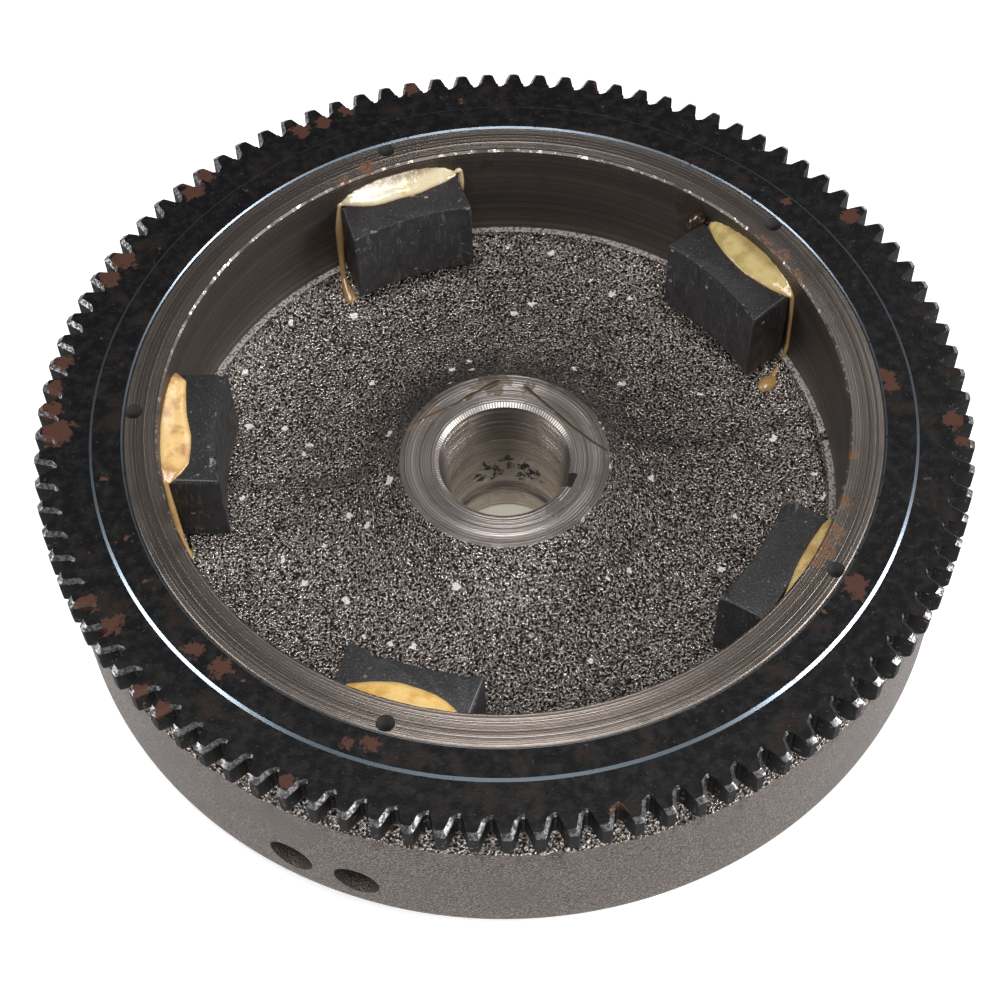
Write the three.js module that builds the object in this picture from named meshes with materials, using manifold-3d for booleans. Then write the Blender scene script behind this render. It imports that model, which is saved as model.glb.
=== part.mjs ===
// Cast-iron engine flywheel: a heavy rim on a solid web and hub, a starter ring gear shrunk on the rim,
// and five ferrite magnets bonded inside it for the charging coil.
// Millimetres. +Z is the crank axis and points to the engine side; Z = 0 is the fan-side nose of the hub.
import * as THREE from "three";
import { mergeVertices } from "three/addons/utils/BufferGeometryUtils.js";
import Module from "manifold-3d";

const wasm = await Module();
wasm.setup();

// Overall
const HEIGHT = 74; // fan-side nose of the hub to the engine-side rim face
const CLEARANCE = 0.3; // modelling gap between pieces that touch
const ROUND_STEPS = 84; // facets around the body

// Ring gear: 99 full-depth teeth of 10 diametral pitch
const MODULE = 2.54;
const TEETH = 99;
const GEAR_TIP_R = (MODULE * (TEETH + 2)) / 2;
const GEAR_ROOT_R = GEAR_TIP_R - 2.25 * MODULE;
const GEAR_WIDTH = 9.5;
const TIP_LAND = 2.3; // width of a tooth at its tip
const ROOT_THICKNESS = 6.1; // width of a tooth where it leaves the root
const ENTRY_CHAMFER = 1.5; // pinion entry, on the tooth ends
const GEAR_STEP = 0.6; // the toothed band of the gear is turned down by this

// Body
const RIM_INNER_R = 94.6;
const RIM_WALL = 9.4; // thickness of the rim inside the gear
const GEAR_SEAT_R = RIM_INNER_R + RIM_WALL;
const GEAR_STEP_R = GEAR_SEAT_R + 8.8;
const OUTER_R = GEAR_TIP_R - 2.45; // the rim stands just inside the tips of the teeth
const OUTER_TOP_Z = HEIGHT - 16;
const RIM_BOTTOM_Z = HEIGHT - 58.3;
const CORNER_R = 2.5;
const LEDGE_Z = HEIGHT - 34.5; // machined ledge that the magnets stand on
const LEDGE_WIDTH = 1.9;
const WEB_TOP_Z = HEIGHT - 41.5;
const WEB_THICKNESS = 11.5;
const WEB_BOTTOM_Z = WEB_TOP_Z - WEB_THICKNESS;
const HUB_FACE_Z = HEIGHT - 25.3;
const HUB_FACE_R = 29.9;
const NOSE_R = 27.5;

// Crank bore: a taper with its large end on the engine side, and a keyway
const BORE_TOP_R = 18.6;
const BORE_BOTTOM_R = 16.5;
const BORE_CHAMFER = 1.6;
const RELIEF_TOP_Z = 13.4;
const RELIEF_BOTTOM_Z = 8;
const RELIEF_DEPTH = 0.8;
const KEYWAY_WIDTH = 5;
const KEYWAY_R = BORE_TOP_R + 2.7; // crank axis to the floor of the keyway
const KEYWAY_ANGLE = -23;

// Fan vanes cast on the fan side
const VANES = 24;
const VANE_INNER_R = NOSE_R + 27;
const VANE_OUTER_R = OUTER_R - 13.8;
const VANE_THICKNESS = 4;

// Drilled marks and balance holes
const DIMPLE_R = 2.4;
const DIMPLE_DEPTH = 1.8;
const DIMPLE_CIRCLE_R = GEAR_SEAT_R - 2.5;
const BALANCE_ANGLES = [242, 250.6];
const BALANCE_Z = HEIGHT - 45.2;
const BALANCE_R = 6.35;
const BALANCE_DEPTH = 13;

// Magnets and the resin that bonds them
const MAGNET_ANGLES = [38, 108.8, 179, 251.9, 326.8];
const MAGNET_WIDTH = 36.8;
const MAGNET_HEIGHT = 26.3;
const MAGNET_BACK_GAP = 1.2; // between the back corners of a magnet and the rim
const MAGNET_FACE_DEPTH = 14.8; // rim to the concave pole face
const RESIN_INSET = 1.6; // resin stops short of each end of the magnet
const RESIN_LAP = 3.2; // how far the resin laps over the top of a magnet
const RESIN_RISE = 3;
const MAGNET_BACK_X = Math.sqrt(RIM_INNER_R ** 2 - (MAGNET_WIDTH / 2) ** 2) - MAGNET_BACK_GAP;
const MAGNET_FACE_R = RIM_INNER_R - MAGNET_FACE_DEPTH;
const RESIN_HALF_WIDTH = MAGNET_WIDTH / 2 - RESIN_INSET;

const CAST_IRON = { color: 0x6f6660, roughness: 0.55, metalness: 0.75 };
const GEAR_STEEL = { color: 0x2b2c30, roughness: 0.5, metalness: 0.8 };
const FERRITE = { color: 0x37383b, roughness: 0.7, metalness: 0.1 };
const RESIN = { color: 0xd9b264, roughness: 0.2, metalness: 0 };

const degrees = (angle) => THREE.MathUtils.degToRad(angle);

// A mesh of its own material, named as the piece it is.
function piece(name, geometry, finish) {
  const mesh = new THREE.Mesh(geometry, new THREE.MeshStandardMaterial(finish));
  mesh.name = name;
  geometry.computeVertexNormals();
  return mesh;
}

// Closed three.js geometry as a manifold-3d solid.
function solid(geometry) {
  const bare = new THREE.BufferGeometry();
  const flat = geometry.index ? geometry.toNonIndexed() : geometry;
  bare.setAttribute("position", flat.getAttribute("position"));
  const merged = mergeVertices(bare, 1e-4);
  return new wasm.Manifold(
    new wasm.Mesh({
      numProp: 3,
      vertProperties: merged.attributes.position.array,
      triVerts: new Uint32Array(merged.index.array),
    }),
  );
}

// A manifold-3d solid as three.js geometry.
function geometryOf(manifold) {
  const mesh = manifold.getMesh();
  const positions = new Float32Array(mesh.numVert * 3);
  for (let i = 0; i < mesh.numVert; i++) {
    positions.set(mesh.vertProperties.subarray(i * mesh.numProp, i * mesh.numProp + 3), i * 3);
  }
  const geometry = new THREE.BufferGeometry();
  geometry.setAttribute("position", new THREE.BufferAttribute(positions, 3));
  geometry.setIndex(new THREE.BufferAttribute(mesh.triVerts, 1));
  return geometry;
}

// A closed profile of [radius, z] points, listed with the metal on its right, turned about the crank axis.
function turned(profile, steps) {
  const closed = [...profile, profile[0]].map(([r, z]) => new THREE.Vector2(r, z));
  return new THREE.LatheGeometry(closed.reverse(), steps).rotateX(Math.PI / 2);
}

// A cylinder or cone from one point to another.
function rod(from, to, fromR, toR, steps) {
  const a = new THREE.Vector3(...from);
  const b = new THREE.Vector3(...to);
  const along = b.clone().sub(a);
  const geometry = new THREE.CylinderGeometry(toR, fromR, along.length(), steps);
  const turn = new THREE.Quaternion().setFromUnitVectors(
    new THREE.Vector3(0, 1, 0),
    along.clone().normalize(),
  );
  geometry.applyQuaternion(turn);
  geometry.translate(...a.add(b).multiplyScalar(0.5).toArray());
  return geometry;
}

// Section of the casting, from the engine-side end of the bore out over the rim and back by the fan side.
function bodyProfile() {
  const seatZ = HEIGHT - GEAR_WIDTH - CLEARANCE;
  const ledgeR = RIM_INNER_R - LEDGE_WIDTH;
  const corner = [];
  for (const angle of [0, 22.5, 45, 67.5, 90]) {
    corner.push([
      OUTER_R - CORNER_R * (1 - Math.cos(degrees(angle))),
      RIM_BOTTOM_Z + CORNER_R * (1 - Math.sin(degrees(angle))),
    ]);
  }
  return [
    [BORE_TOP_R + BORE_CHAMFER, HUB_FACE_Z],
    [HUB_FACE_R, HUB_FACE_Z],
    [HUB_FACE_R + 1.8, HUB_FACE_Z - 1],
    [HUB_FACE_R + 6.5, HUB_FACE_Z - 6.5],
    [HUB_FACE_R + 12, HUB_FACE_Z - 11.5],
    [HUB_FACE_R + 20, WEB_TOP_Z + 1.4],
    [HUB_FACE_R + 30, WEB_TOP_Z],
    [ledgeR - 9, WEB_TOP_Z],
    [ledgeR - 4.5, WEB_TOP_Z + 1],
    [ledgeR - 1.4, WEB_TOP_Z + 3.6],
    [ledgeR, LEDGE_Z],
    [RIM_INNER_R, LEDGE_Z],
    [RIM_INNER_R, HEIGHT - 0.6],
    [RIM_INNER_R + 0.6, HEIGHT],
    [GEAR_SEAT_R - 0.6, HEIGHT],
    [GEAR_SEAT_R, HEIGHT - 0.6],
    [GEAR_SEAT_R, seatZ],
    [GEAR_SEAT_R + 12, seatZ],
    [GEAR_SEAT_R + 17.5, seatZ - 2.4],
    [OUTER_R - 1, OUTER_TOP_Z + 0.9],
    [OUTER_R, OUTER_TOP_Z],
    ...corner,
    [OUTER_R - 16, RIM_BOTTOM_Z],
    [OUTER_R - 24, WEB_BOTTOM_Z],
    [NOSE_R + 12, WEB_BOTTOM_Z],
    [NOSE_R + 4.5, WEB_BOTTOM_Z - 3],
    [NOSE_R + 2, WEB_BOTTOM_Z - 8],
    [NOSE_R, 1],
    [NOSE_R - 1, 0],
    [BORE_BOTTOM_R + 1, 0],
    [BORE_BOTTOM_R, 1],
    [BORE_BOTTOM_R, RELIEF_BOTTOM_Z],
    [BORE_BOTTOM_R + RELIEF_DEPTH, RELIEF_BOTTOM_Z + 0.8],
    [BORE_BOTTOM_R + RELIEF_DEPTH, RELIEF_TOP_Z - 0.8],
    [BORE_BOTTOM_R, RELIEF_TOP_Z],
    [BORE_TOP_R, HUB_FACE_Z - 2.1],
  ];
}

// One fan vane, standing radially from the web down to the plane of the hub nose.
function vane(index) {
  const length = VANE_OUTER_R - VANE_INNER_R;
  const top = WEB_BOTTOM_Z + 1;
  const geometry = new THREE.BoxGeometry(length, VANE_THICKNESS, top);
  geometry.translate(VANE_INNER_R + length / 2, 0, top / 2);
  geometry.rotateZ((index * 2 * Math.PI) / VANES);
  return geometry;
}

// Straight keyway along the taper, as deep below the hub face as the bore is long.
function keyway() {
  const geometry = new THREE.BoxGeometry(KEYWAY_R, KEYWAY_WIDTH, HUB_FACE_Z + 10);
  geometry.translate(KEYWAY_R / 2, 0, RELIEF_TOP_Z + (HUB_FACE_Z + 10) / 2);
  geometry.rotateZ(degrees(KEYWAY_ANGLE));
  return geometry;
}

// Drilled spot in the rim face that marks a magnet.
function dimple(angle) {
  const x = DIMPLE_CIRCLE_R * Math.cos(degrees(angle));
  const y = DIMPLE_CIRCLE_R * Math.sin(degrees(angle));
  const outside = 1;
  const slope = DIMPLE_R / DIMPLE_DEPTH;
  return rod([x, y, HEIGHT - DIMPLE_DEPTH], [x, y, HEIGHT + outside], 0.3, DIMPLE_R + outside * slope, 16);
}

// Blind balance hole drilled into the outside of the rim.
function balanceHole(angle) {
  const at = (r) => [r * Math.cos(degrees(angle)), r * Math.sin(degrees(angle)), BALANCE_Z];
  const barrel = solid(rod(at(OUTER_R - BALANCE_DEPTH), at(OUTER_R + 2), BALANCE_R, BALANCE_R, 24));
  const point = solid(rod(at(OUTER_R - BALANCE_DEPTH - 3.6), at(OUTER_R - BALANCE_DEPTH + 0.05), 0.2, BALANCE_R, 24));
  return barrel.add(point);
}

// The whole casting, machined.
function body() {
  let casting = solid(turned(bodyProfile(), ROUND_STEPS));
  for (let i = 0; i < VANES; i++) {
    casting = casting.add(solid(vane(i)));
  }
  casting = casting.subtract(solid(keyway()));
  for (const angle of MAGNET_ANGLES) {
    casting = casting.subtract(solid(dimple(angle)));
  }
  for (const angle of BALANCE_ANGLES) {
    casting = casting.subtract(balanceHole(angle));
  }
  return piece("flywheel_body", geometryOf(casting), CAST_IRON);
}

// Outline of the teeth at one height: [radius, angle] pairs, six to a tooth, in turning order.
// tipR cuts the tips down and ease moves the leading flank and the root back, for the pinion entry.
function toothLoop(tipR, ease) {
  const loop = [];
  for (let i = 0; i < TEETH; i++) {
    const centre = (i * 2 * Math.PI) / TEETH;
    const trailingTip = centre - TIP_LAND / 2 / GEAR_TIP_R;
    const leadingTip = centre + (TIP_LAND / 2 - ease * 0.45) / GEAR_TIP_R;
    const trailingRoot = centre - ROOT_THICKNESS / 2 / GEAR_ROOT_R;
    const leadingRoot = centre + (ROOT_THICKNESS / 2 - ease * 0.9) / GEAR_ROOT_R;
    const gapMiddle = centre + Math.PI / TEETH;
    loop.push([GEAR_ROOT_R + 0.5, trailingRoot]);
    loop.push([tipR, trailingTip]);
    loop.push([tipR, leadingTip]);
    loop.push([GEAR_ROOT_R + 0.5 - ease * 0.6, leadingRoot]);
    loop.push([GEAR_ROOT_R - ease * 0.7, gapMiddle - 0.55 / GEAR_ROOT_R]);
    loop.push([GEAR_ROOT_R - ease * 0.5, gapMiddle + 0.55 / GEAR_ROOT_R]);
  }
  return loop;
}

// Starter ring gear, as stacked outlines joined by walls: out over the engine-side face, down the teeth,
// back over the lower face and up the seat.
function ringGear() {
  const perTooth = 6;
  const top = HEIGHT;
  const bottom = HEIGHT - GEAR_WIDTH;
  const seatR = GEAR_SEAT_R + CLEARANCE + 0.1;
  const circle = (r) => Array.from({ length: TEETH }, (_, i) => [r, ((i * 2 - 0.5) * Math.PI) / TEETH]);
  const rings = [
    { points: circle(seatR + 0.5), z: top },
    { points: circle(GEAR_STEP_R - 0.5), z: top },
    { points: circle(GEAR_STEP_R + 0.5), z: top - GEAR_STEP },
    { points: toothLoop(GEAR_TIP_R - ENTRY_CHAMFER, ENTRY_CHAMFER), z: top - GEAR_STEP },
    { points: toothLoop(GEAR_TIP_R, 0), z: top - GEAR_STEP - ENTRY_CHAMFER * 0.8 },
    { points: toothLoop(GEAR_TIP_R, 0), z: bottom + 0.9 },
    { points: toothLoop(GEAR_TIP_R - 0.9, 0), z: bottom },
    { points: circle(seatR + 0.5), z: bottom },
    { points: circle(seatR), z: bottom + 0.5 },
    { points: circle(seatR), z: top - 0.5 },
  ];
  const positions = [];
  const starts = [];
  for (const ring of rings) {
    starts.push(positions.length / 3);
    for (const [r, angle] of ring.points) {
      positions.push(r * Math.cos(angle), r * Math.sin(angle), ring.z);
    }
  }
  const index = [];
  rings.forEach((ring, k) => {
    const next = (k + 1) % rings.length;
    const count = ring.points.length;
    const nextCount = rings[next].points.length;
    const a = (i) => starts[k] + (i % count);
    const b = (i) => starts[next] + (i % nextCount);
    if (count === nextCount) {
      for (let i = 0; i < count; i++) {
        index.push(a(i), b(i), b(i + 1), a(i), b(i + 1), a(i + 1));
      }
    } else if (count < nextCount) {
      for (let i = 0; i < count; i++) {
        for (let j = 0; j < perTooth; j++) {
          index.push(a(i), b(i * perTooth + j), b(i * perTooth + j + 1));
        }
        index.push(a(i), b((i + 1) * perTooth), a(i + 1));
      }
    } else {
      for (let i = 0; i < nextCount; i++) {
        for (let j = 0; j < perTooth; j++) {
          index.push(a(i * perTooth + j), b(i), a(i * perTooth + j + 1));
        }
        index.push(b(i), b(i + 1), a((i + 1) * perTooth));
      }
    }
  });
  const geometry = new THREE.BufferGeometry();
  geometry.setAttribute("position", new THREE.Float32BufferAttribute(positions, 3));
  geometry.setIndex(index);
  return piece("ring_gear", geometry, GEAR_STEEL);
}

// A flat outline in X and Y, given height along Z and swung to its place around the crank.
function upright(outline, bottom, height, angle) {
  const shape = new THREE.Shape(outline.map(([x, y]) => new THREE.Vector2(x, y)));
  const geometry = new THREE.ExtrudeGeometry(shape, { depth: height, bevelEnabled: false });
  geometry.translate(0, 0, bottom);
  geometry.rotateZ(degrees(angle));
  return geometry;
}

// Points on an arc about [x, 0], from one height of Y to the other.
function arc(x, r, fromY, toY, steps, side) {
  const points = [];
  for (let i = 0; i <= steps; i++) {
    const y = fromY + ((toY - fromY) * i) / steps;
    points.push([x + side * Math.sqrt(r * r - y * y), y]);
  }
  return points;
}

// Ferrite magnet: flat back and sides, pole face hollowed about the crank axis.
function magnet(number, angle) {
  const half = MAGNET_WIDTH / 2;
  const outline = [
    [MAGNET_BACK_X, -half],
    [MAGNET_BACK_X, half],
    ...arc(0, MAGNET_FACE_R, half, -half, 8, 1),
  ];
  const bottom = LEDGE_Z + CLEARANCE;
  return piece(`magnet_${number}`, upright(outline, bottom, MAGNET_HEIGHT, angle), FERRITE);
}

// Resin behind a magnet, from the ledge up to a lens that laps over the magnet's top.
function magnetBond(number, angle) {
  const wallR = RIM_INNER_R - CLEARANCE - 0.05;
  const backX = MAGNET_BACK_X + CLEARANCE;
  const magnetTop = LEDGE_Z + CLEARANCE + MAGNET_HEIGHT;
  const bottom = LEDGE_Z + CLEARANCE;
  const filling = [
    ...arc(0, wallR, -RESIN_HALF_WIDTH, RESIN_HALF_WIDTH, 8, 1),
    [backX, RESIN_HALF_WIDTH],
    [backX, -RESIN_HALF_WIDTH],
  ];
  const chordX = Math.sqrt(wallR * wallR - RESIN_HALF_WIDTH * RESIN_HALF_WIDTH);
  const sag = chordX - (MAGNET_BACK_X - RESIN_LAP);
  const lapR = (RESIN_HALF_WIDTH * RESIN_HALF_WIDTH + sag * sag) / (2 * sag);
  const lens = [
    ...arc(0, wallR, -RESIN_HALF_WIDTH, RESIN_HALF_WIDTH, 8, 1),
    ...arc(MAGNET_BACK_X - RESIN_LAP + lapR, lapR, RESIN_HALF_WIDTH, -RESIN_HALF_WIDTH, 8, -1).slice(1, -1),
  ];
  const stem = solid(upright(filling, bottom, MAGNET_HEIGHT + CLEARANCE + 0.5, angle));
  const cap = solid(upright(lens, magnetTop + CLEARANCE, RESIN_RISE, angle));
  return piece(`magnet_bond_${number}`, geometryOf(stem.add(cap)), RESIN);
}

const group = new THREE.Group();
group.name = "flywheel";
group.add(body());
group.add(ringGear());
MAGNET_ANGLES.forEach((angle, i) => {
  group.add(magnet(i + 1, angle));
  group.add(magnetBond(i + 1, angle));
});

export default group;
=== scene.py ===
import math

import bpy
from mathutils import Matrix, Vector


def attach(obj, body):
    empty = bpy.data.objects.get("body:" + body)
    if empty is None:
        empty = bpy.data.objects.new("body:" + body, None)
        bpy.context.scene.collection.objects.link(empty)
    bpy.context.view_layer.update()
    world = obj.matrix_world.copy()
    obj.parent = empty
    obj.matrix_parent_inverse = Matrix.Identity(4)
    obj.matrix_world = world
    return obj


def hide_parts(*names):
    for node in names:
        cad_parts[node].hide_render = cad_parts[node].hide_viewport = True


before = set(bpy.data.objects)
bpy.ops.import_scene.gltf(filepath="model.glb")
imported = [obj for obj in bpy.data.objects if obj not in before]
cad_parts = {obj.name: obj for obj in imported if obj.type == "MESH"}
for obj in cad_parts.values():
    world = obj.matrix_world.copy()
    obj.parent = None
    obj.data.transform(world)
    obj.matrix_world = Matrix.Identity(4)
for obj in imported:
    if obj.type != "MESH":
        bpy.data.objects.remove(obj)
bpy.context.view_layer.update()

# The casting is grey iron, sand cast in one piece: hub, web and heavy rim. The hub face, rim face, bore,
# inner wall and outer wall are turned afterwards; the web and the shoulder under the gear stay as cast.
TURN_STEPS = 360
RIM_FACE_Z = 0.0740
RIM_INNER_R = 0.0946
SEAT_R = 0.1040
SEAT_Z = 0.0642
OUTER_R = 0.1258
OUTER_TOP_Z = 0.0580
RIM_BOTTOM_Z = 0.0157
LEDGE_Z = 0.0395
LEDGE_INNER_R = 0.0927
WEB_TOP_Z = 0.0325
WEB_BOTTOM_Z = 0.0210
WEB_INNER_R = 0.0599
WEB_OUTER_R = 0.0837
HUB_FACE_Z = 0.0487
HUB_FACE_R = 0.0299
NOSE_R = 0.0275
BORE_TOP_R = 0.01875
BORE_BOTTOM_R = 0.0165
BORE_CHAMFER_R = 0.0200
BORE_CHAMFER_DEPTH = 0.0010
KEYWAY_WIDTH = 0.0050
KEYWAY_R = 0.0213
KEYWAY_ANGLE = math.radians(-23)
KEYWAY_END_Z = 0.0134
EDGE_BREAK = 0.0006
NEAR = 0.0001


def deselect():
    bpy.ops.object.select_all(action="DESELECT")


def make_active(piece):
    deselect()
    piece.select_set(True)
    bpy.context.view_layer.objects.active = piece


def enter_edit():
    bpy.ops.object.mode_set(mode="EDIT")


def leave_edit():
    bpy.ops.object.mode_set(mode="OBJECT")


def sweep(start, bend, end, steps):
    """Points from start to end, pulled towards bend, without the start itself."""
    return [
        tuple((1 - t) ** 2 * a + 2 * t * (1 - t) * b + t**2 * c for a, b, c in zip(start, bend, end))
        for t in [i / steps for i in range(1, steps + 1)]
    ]


def run(start, end, steps):
    """Evenly spaced points from start to end, without the start itself."""
    middle = tuple((a + b) / 2 for a, b in zip(start, end))
    return sweep(start, middle, end, steps)


def lay_wire(points):
    """In edit mode: one chain of edges through the points, left selected."""
    bpy.ops.mesh.select_mode(type="VERT")
    bpy.ops.mesh.select_all(action="DESELECT")
    bpy.ops.mesh.primitive_plane_add(size=0.001, location=points[0])
    bpy.ops.mesh.merge(type="CENTER")
    for here, there in zip(points, points[1:]):
        step = Vector(there) - Vector(here)
        bpy.ops.mesh.extrude_vertices_move(TRANSFORM_OT_translate={"value": step})


def empty_mesh(name):
    """A new piece at the origin with nothing in it, open in edit mode."""
    deselect()
    bpy.ops.mesh.primitive_plane_add(size=0.001, location=(0, 0, 0))
    piece = bpy.context.object
    piece.name = name
    piece.data.name = name
    enter_edit()
    bpy.ops.mesh.delete(type="VERT")
    return piece


def turn_profile(name, profile, steps):
    """A closed section of (radius, height) points, spun about the crank axis into a closed ring."""
    piece = empty_mesh(name)
    lay_wire([(r, 0, z) for r, z in profile + profile[:1]])
    bpy.ops.mesh.select_all(action="SELECT")
    bpy.ops.mesh.remove_doubles(threshold=1e-6)
    bpy.ops.mesh.spin(steps=steps, angle=math.tau, center=(0, 0, 0), axis=(0, 0, 1))
    bpy.ops.mesh.select_all(action="SELECT")
    bpy.ops.mesh.remove_doubles(threshold=1e-6)
    bpy.ops.mesh.normals_make_consistent(inside=False)
    leave_edit()
    return piece


hub_edge = (HUB_FACE_R + 0.0003, HUB_FACE_Z - 0.0003)
web_start = (WEB_INNER_R, WEB_TOP_Z + 0.0005)
web_end = (WEB_OUTER_R, WEB_TOP_Z + 0.0009)
ledge_edge = (LEDGE_INNER_R, LEDGE_Z)
casting_section = [
    (BORE_CHAMFER_R, HUB_FACE_Z),
    *run((BORE_CHAMFER_R, HUB_FACE_Z), (HUB_FACE_R, HUB_FACE_Z), 4),
    hub_edge,
    *sweep(hub_edge, (0.0400, 0.0342), web_start, 26),
    *sweep(web_start, (0.0700, WEB_TOP_Z - 0.0013), web_end, 22),
    *sweep(web_end, (0.0915, WEB_TOP_Z + 0.0012), ledge_edge, 10),
    (RIM_INNER_R, LEDGE_Z),
    *run((RIM_INNER_R, LEDGE_Z), (RIM_INNER_R, RIM_FACE_Z - EDGE_BREAK), 8),
    (RIM_INNER_R + EDGE_BREAK, RIM_FACE_Z),
    *run((RIM_INNER_R + EDGE_BREAK, RIM_FACE_Z), (SEAT_R - EDGE_BREAK, RIM_FACE_Z), 4),
    (SEAT_R, RIM_FACE_Z - EDGE_BREAK),
    (SEAT_R, SEAT_Z),
    (0.1160, SEAT_Z),
    *sweep((0.1160, SEAT_Z), (0.1200, 0.0636), (0.1248, 0.0589), 12),
    (OUTER_R, OUTER_TOP_Z),
    *run((OUTER_R, OUTER_TOP_Z), (OUTER_R, RIM_BOTTOM_Z + 0.0025), 8),
    *sweep((OUTER_R, RIM_BOTTOM_Z + 0.0025), (OUTER_R, RIM_BOTTOM_Z), (OUTER_R - 0.0025, RIM_BOTTOM_Z), 4),
    (OUTER_R - 0.0160, RIM_BOTTOM_Z),
    *sweep((OUTER_R - 0.0160, RIM_BOTTOM_Z), (0.1050, 0.0180), (OUTER_R - 0.0240, WEB_BOTTOM_Z), 5),
    *run((OUTER_R - 0.0240, WEB_BOTTOM_Z), (NOSE_R + 0.0120, WEB_BOTTOM_Z), 16),
    *sweep((NOSE_R + 0.0120, WEB_BOTTOM_Z), (NOSE_R + 0.0030, WEB_BOTTOM_Z), (NOSE_R + 0.0020, 0.0130), 6),
    (NOSE_R, 0.0010),
    (NOSE_R - 0.0010, 0),
    (BORE_BOTTOM_R + 0.0010, 0),
    (BORE_BOTTOM_R, 0.0010),
    (BORE_BOTTOM_R, 0.0080),
    (BORE_BOTTOM_R + 0.0008, 0.0088),
    (BORE_BOTTOM_R + 0.0008, 0.0126),
    (BORE_BOTTOM_R, KEYWAY_END_Z),
    *run((BORE_BOTTOM_R, KEYWAY_END_Z), (BORE_TOP_R, HUB_FACE_Z - BORE_CHAMFER_DEPTH), 6),
]
casting = turn_profile("casting", casting_section, TURN_STEPS)


def roughen(piece, group, test, depth, size):
    """Moves the vertices that pass the test in and out by soft noise of that size, as sand leaves them."""
    members = piece.vertex_groups.new(name=group)
    members.add([v.index for v in piece.data.vertices if test(v.co)], 1.0, "REPLACE")
    cloud = bpy.data.textures.new(group, "CLOUDS")
    cloud.noise_scale = size
    cloud.noise_depth = 3
    make_active(piece)
    modifier = piece.modifiers.new(group, "DISPLACE")
    modifier.texture = cloud
    modifier.texture_coords = "LOCAL"
    modifier.vertex_group = group
    modifier.strength = depth
    modifier.mid_level = 0.5
    bpy.ops.object.modifier_apply(modifier=modifier.name)
    piece.vertex_groups.remove(piece.vertex_groups[group])


def radius_of(point):
    return math.hypot(point.x, point.y)


def on_web(p):
    return hub_edge[0] - NEAR < radius_of(p) < LEDGE_INNER_R - 0.0005 and p.z > 0.025


def on_shoulder(p):
    return radius_of(p) > 0.1165 and OUTER_TOP_Z - NEAR < p.z < SEAT_Z - NEAR


def on_rim_edge(p):
    return radius_of(p) < RIM_INNER_R + 0.0003 and p.z > 0.0732


roughen(casting, "cast_web", on_web, depth=0.0010, size=0.0060)
roughen(casting, "cast_shoulder", on_shoulder, depth=0.0022, size=0.0028)
roughen(casting, "rim_edge", on_rim_edge, depth=0.0004, size=0.0025)


def select_vertices(piece, test):
    """Selects the vertices that pass the test and nothing else."""
    for vertex in piece.data.vertices:
        vertex.select = test(vertex.co)
    for other in (*piece.data.edges, *piece.data.polygons):
        other.select = False


def lift(piece, test, height):
    select_vertices(piece, test)
    enter_edit()
    bpy.ops.mesh.select_mode(type="VERT")
    bpy.ops.transform.translate(value=(0, 0, height))
    leave_edit()


# Low pads cast on the web: start and end of each pad's middle line, and its width and height.
PADS = [
    ((-0.0300, -0.0106), (-0.0930, -0.0098), 0.0262, 0.0019),
    ((0.0330, -0.0040), (0.0930, 0.0090), 0.0262, 0.0018),
    ((0.0055, -0.0330), (0.0065, -0.0930), 0.0285, 0.0014),
    ((0.0130, 0.0330), (0.0180, 0.0930), 0.0330, 0.0012),
]
PAD_STEPS = 6
PAD_SLOPE = 0.0050


def raise_pad(start, end, width, height):
    """Lifts a straight band of the web in narrowing steps, so that its sides are soft slopes."""
    along = (Vector(end) - Vector(start)).normalized()
    across = Vector((-along.y, along.x))
    length = (Vector(end) - Vector(start)).length
    for k in range(PAD_STEPS):
        half = width / 2 + PAD_SLOPE / 2 - PAD_SLOPE * k / (PAD_STEPS - 1)

        def on_pad(p):
            place = Vector((p.x, p.y)) - Vector(start)
            inside = 0.034 < radius_of(p) < LEDGE_INNER_R - 0.0012 and 0.030 < p.z < 0.042
            reach = -0.004 + 0.003 * k < place.dot(along) < length
            return inside and abs(place.dot(across)) < half and reach

        lift(casting, on_pad, height / PAD_STEPS)


# Flaws in the web: where the sand broke away or washed in, as place, reach and height.
FLAWS = [
    ((0.0868, 0.0135), 0.0030, -0.0012),
    ((0.0905, 0.0108), 0.0028, -0.0016),
    ((-0.0440, -0.0520), 0.0022, 0.0012),
    ((-0.0415, -0.0540), 0.0020, 0.0012),
    ((-0.0470, -0.0495), 0.0018, 0.0010),
    ((0.0464, 0.0533), 0.0012, -0.0008),
    ((0.0482, 0.0502), 0.0012, -0.0008),
    ((0.0500, 0.0470), 0.0012, -0.0008),
    ((0.0516, 0.0444), 0.0012, -0.0008),
]


def raise_flaw(place, reach, height):
    """Lifts or sinks a round spot of the web in narrowing steps."""
    for share in (1.0, 0.7, 0.4):

        def on_spot(p):
            return math.hypot(p.x - place[0], p.y - place[1]) < share * reach and 0.028 < p.z < 0.042

        lift(casting, on_spot, height / 3)


make_active(casting)
for flaw in FLAWS:
    raise_flaw(*flaw)
for pad in PADS:
    raise_pad(*pad)


def join(pieces):
    make_active(pieces[0])
    for piece in pieces:
        piece.select_set(True)
    if len(pieces) > 1:
        bpy.ops.object.join()
    return bpy.context.object


def cut(piece, cutters):
    """Cuts the cutters, joined into one, out of the piece."""
    tool = join(cutters)
    make_active(piece)
    modifier = piece.modifiers.new("cut", "BOOLEAN")
    modifier.object = tool
    modifier.operation = "DIFFERENCE"
    modifier.solver = "EXACT"
    modifier.use_self = False
    bpy.ops.object.modifier_apply(modifier=modifier.name)
    bpy.data.objects.remove(tool)


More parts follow.
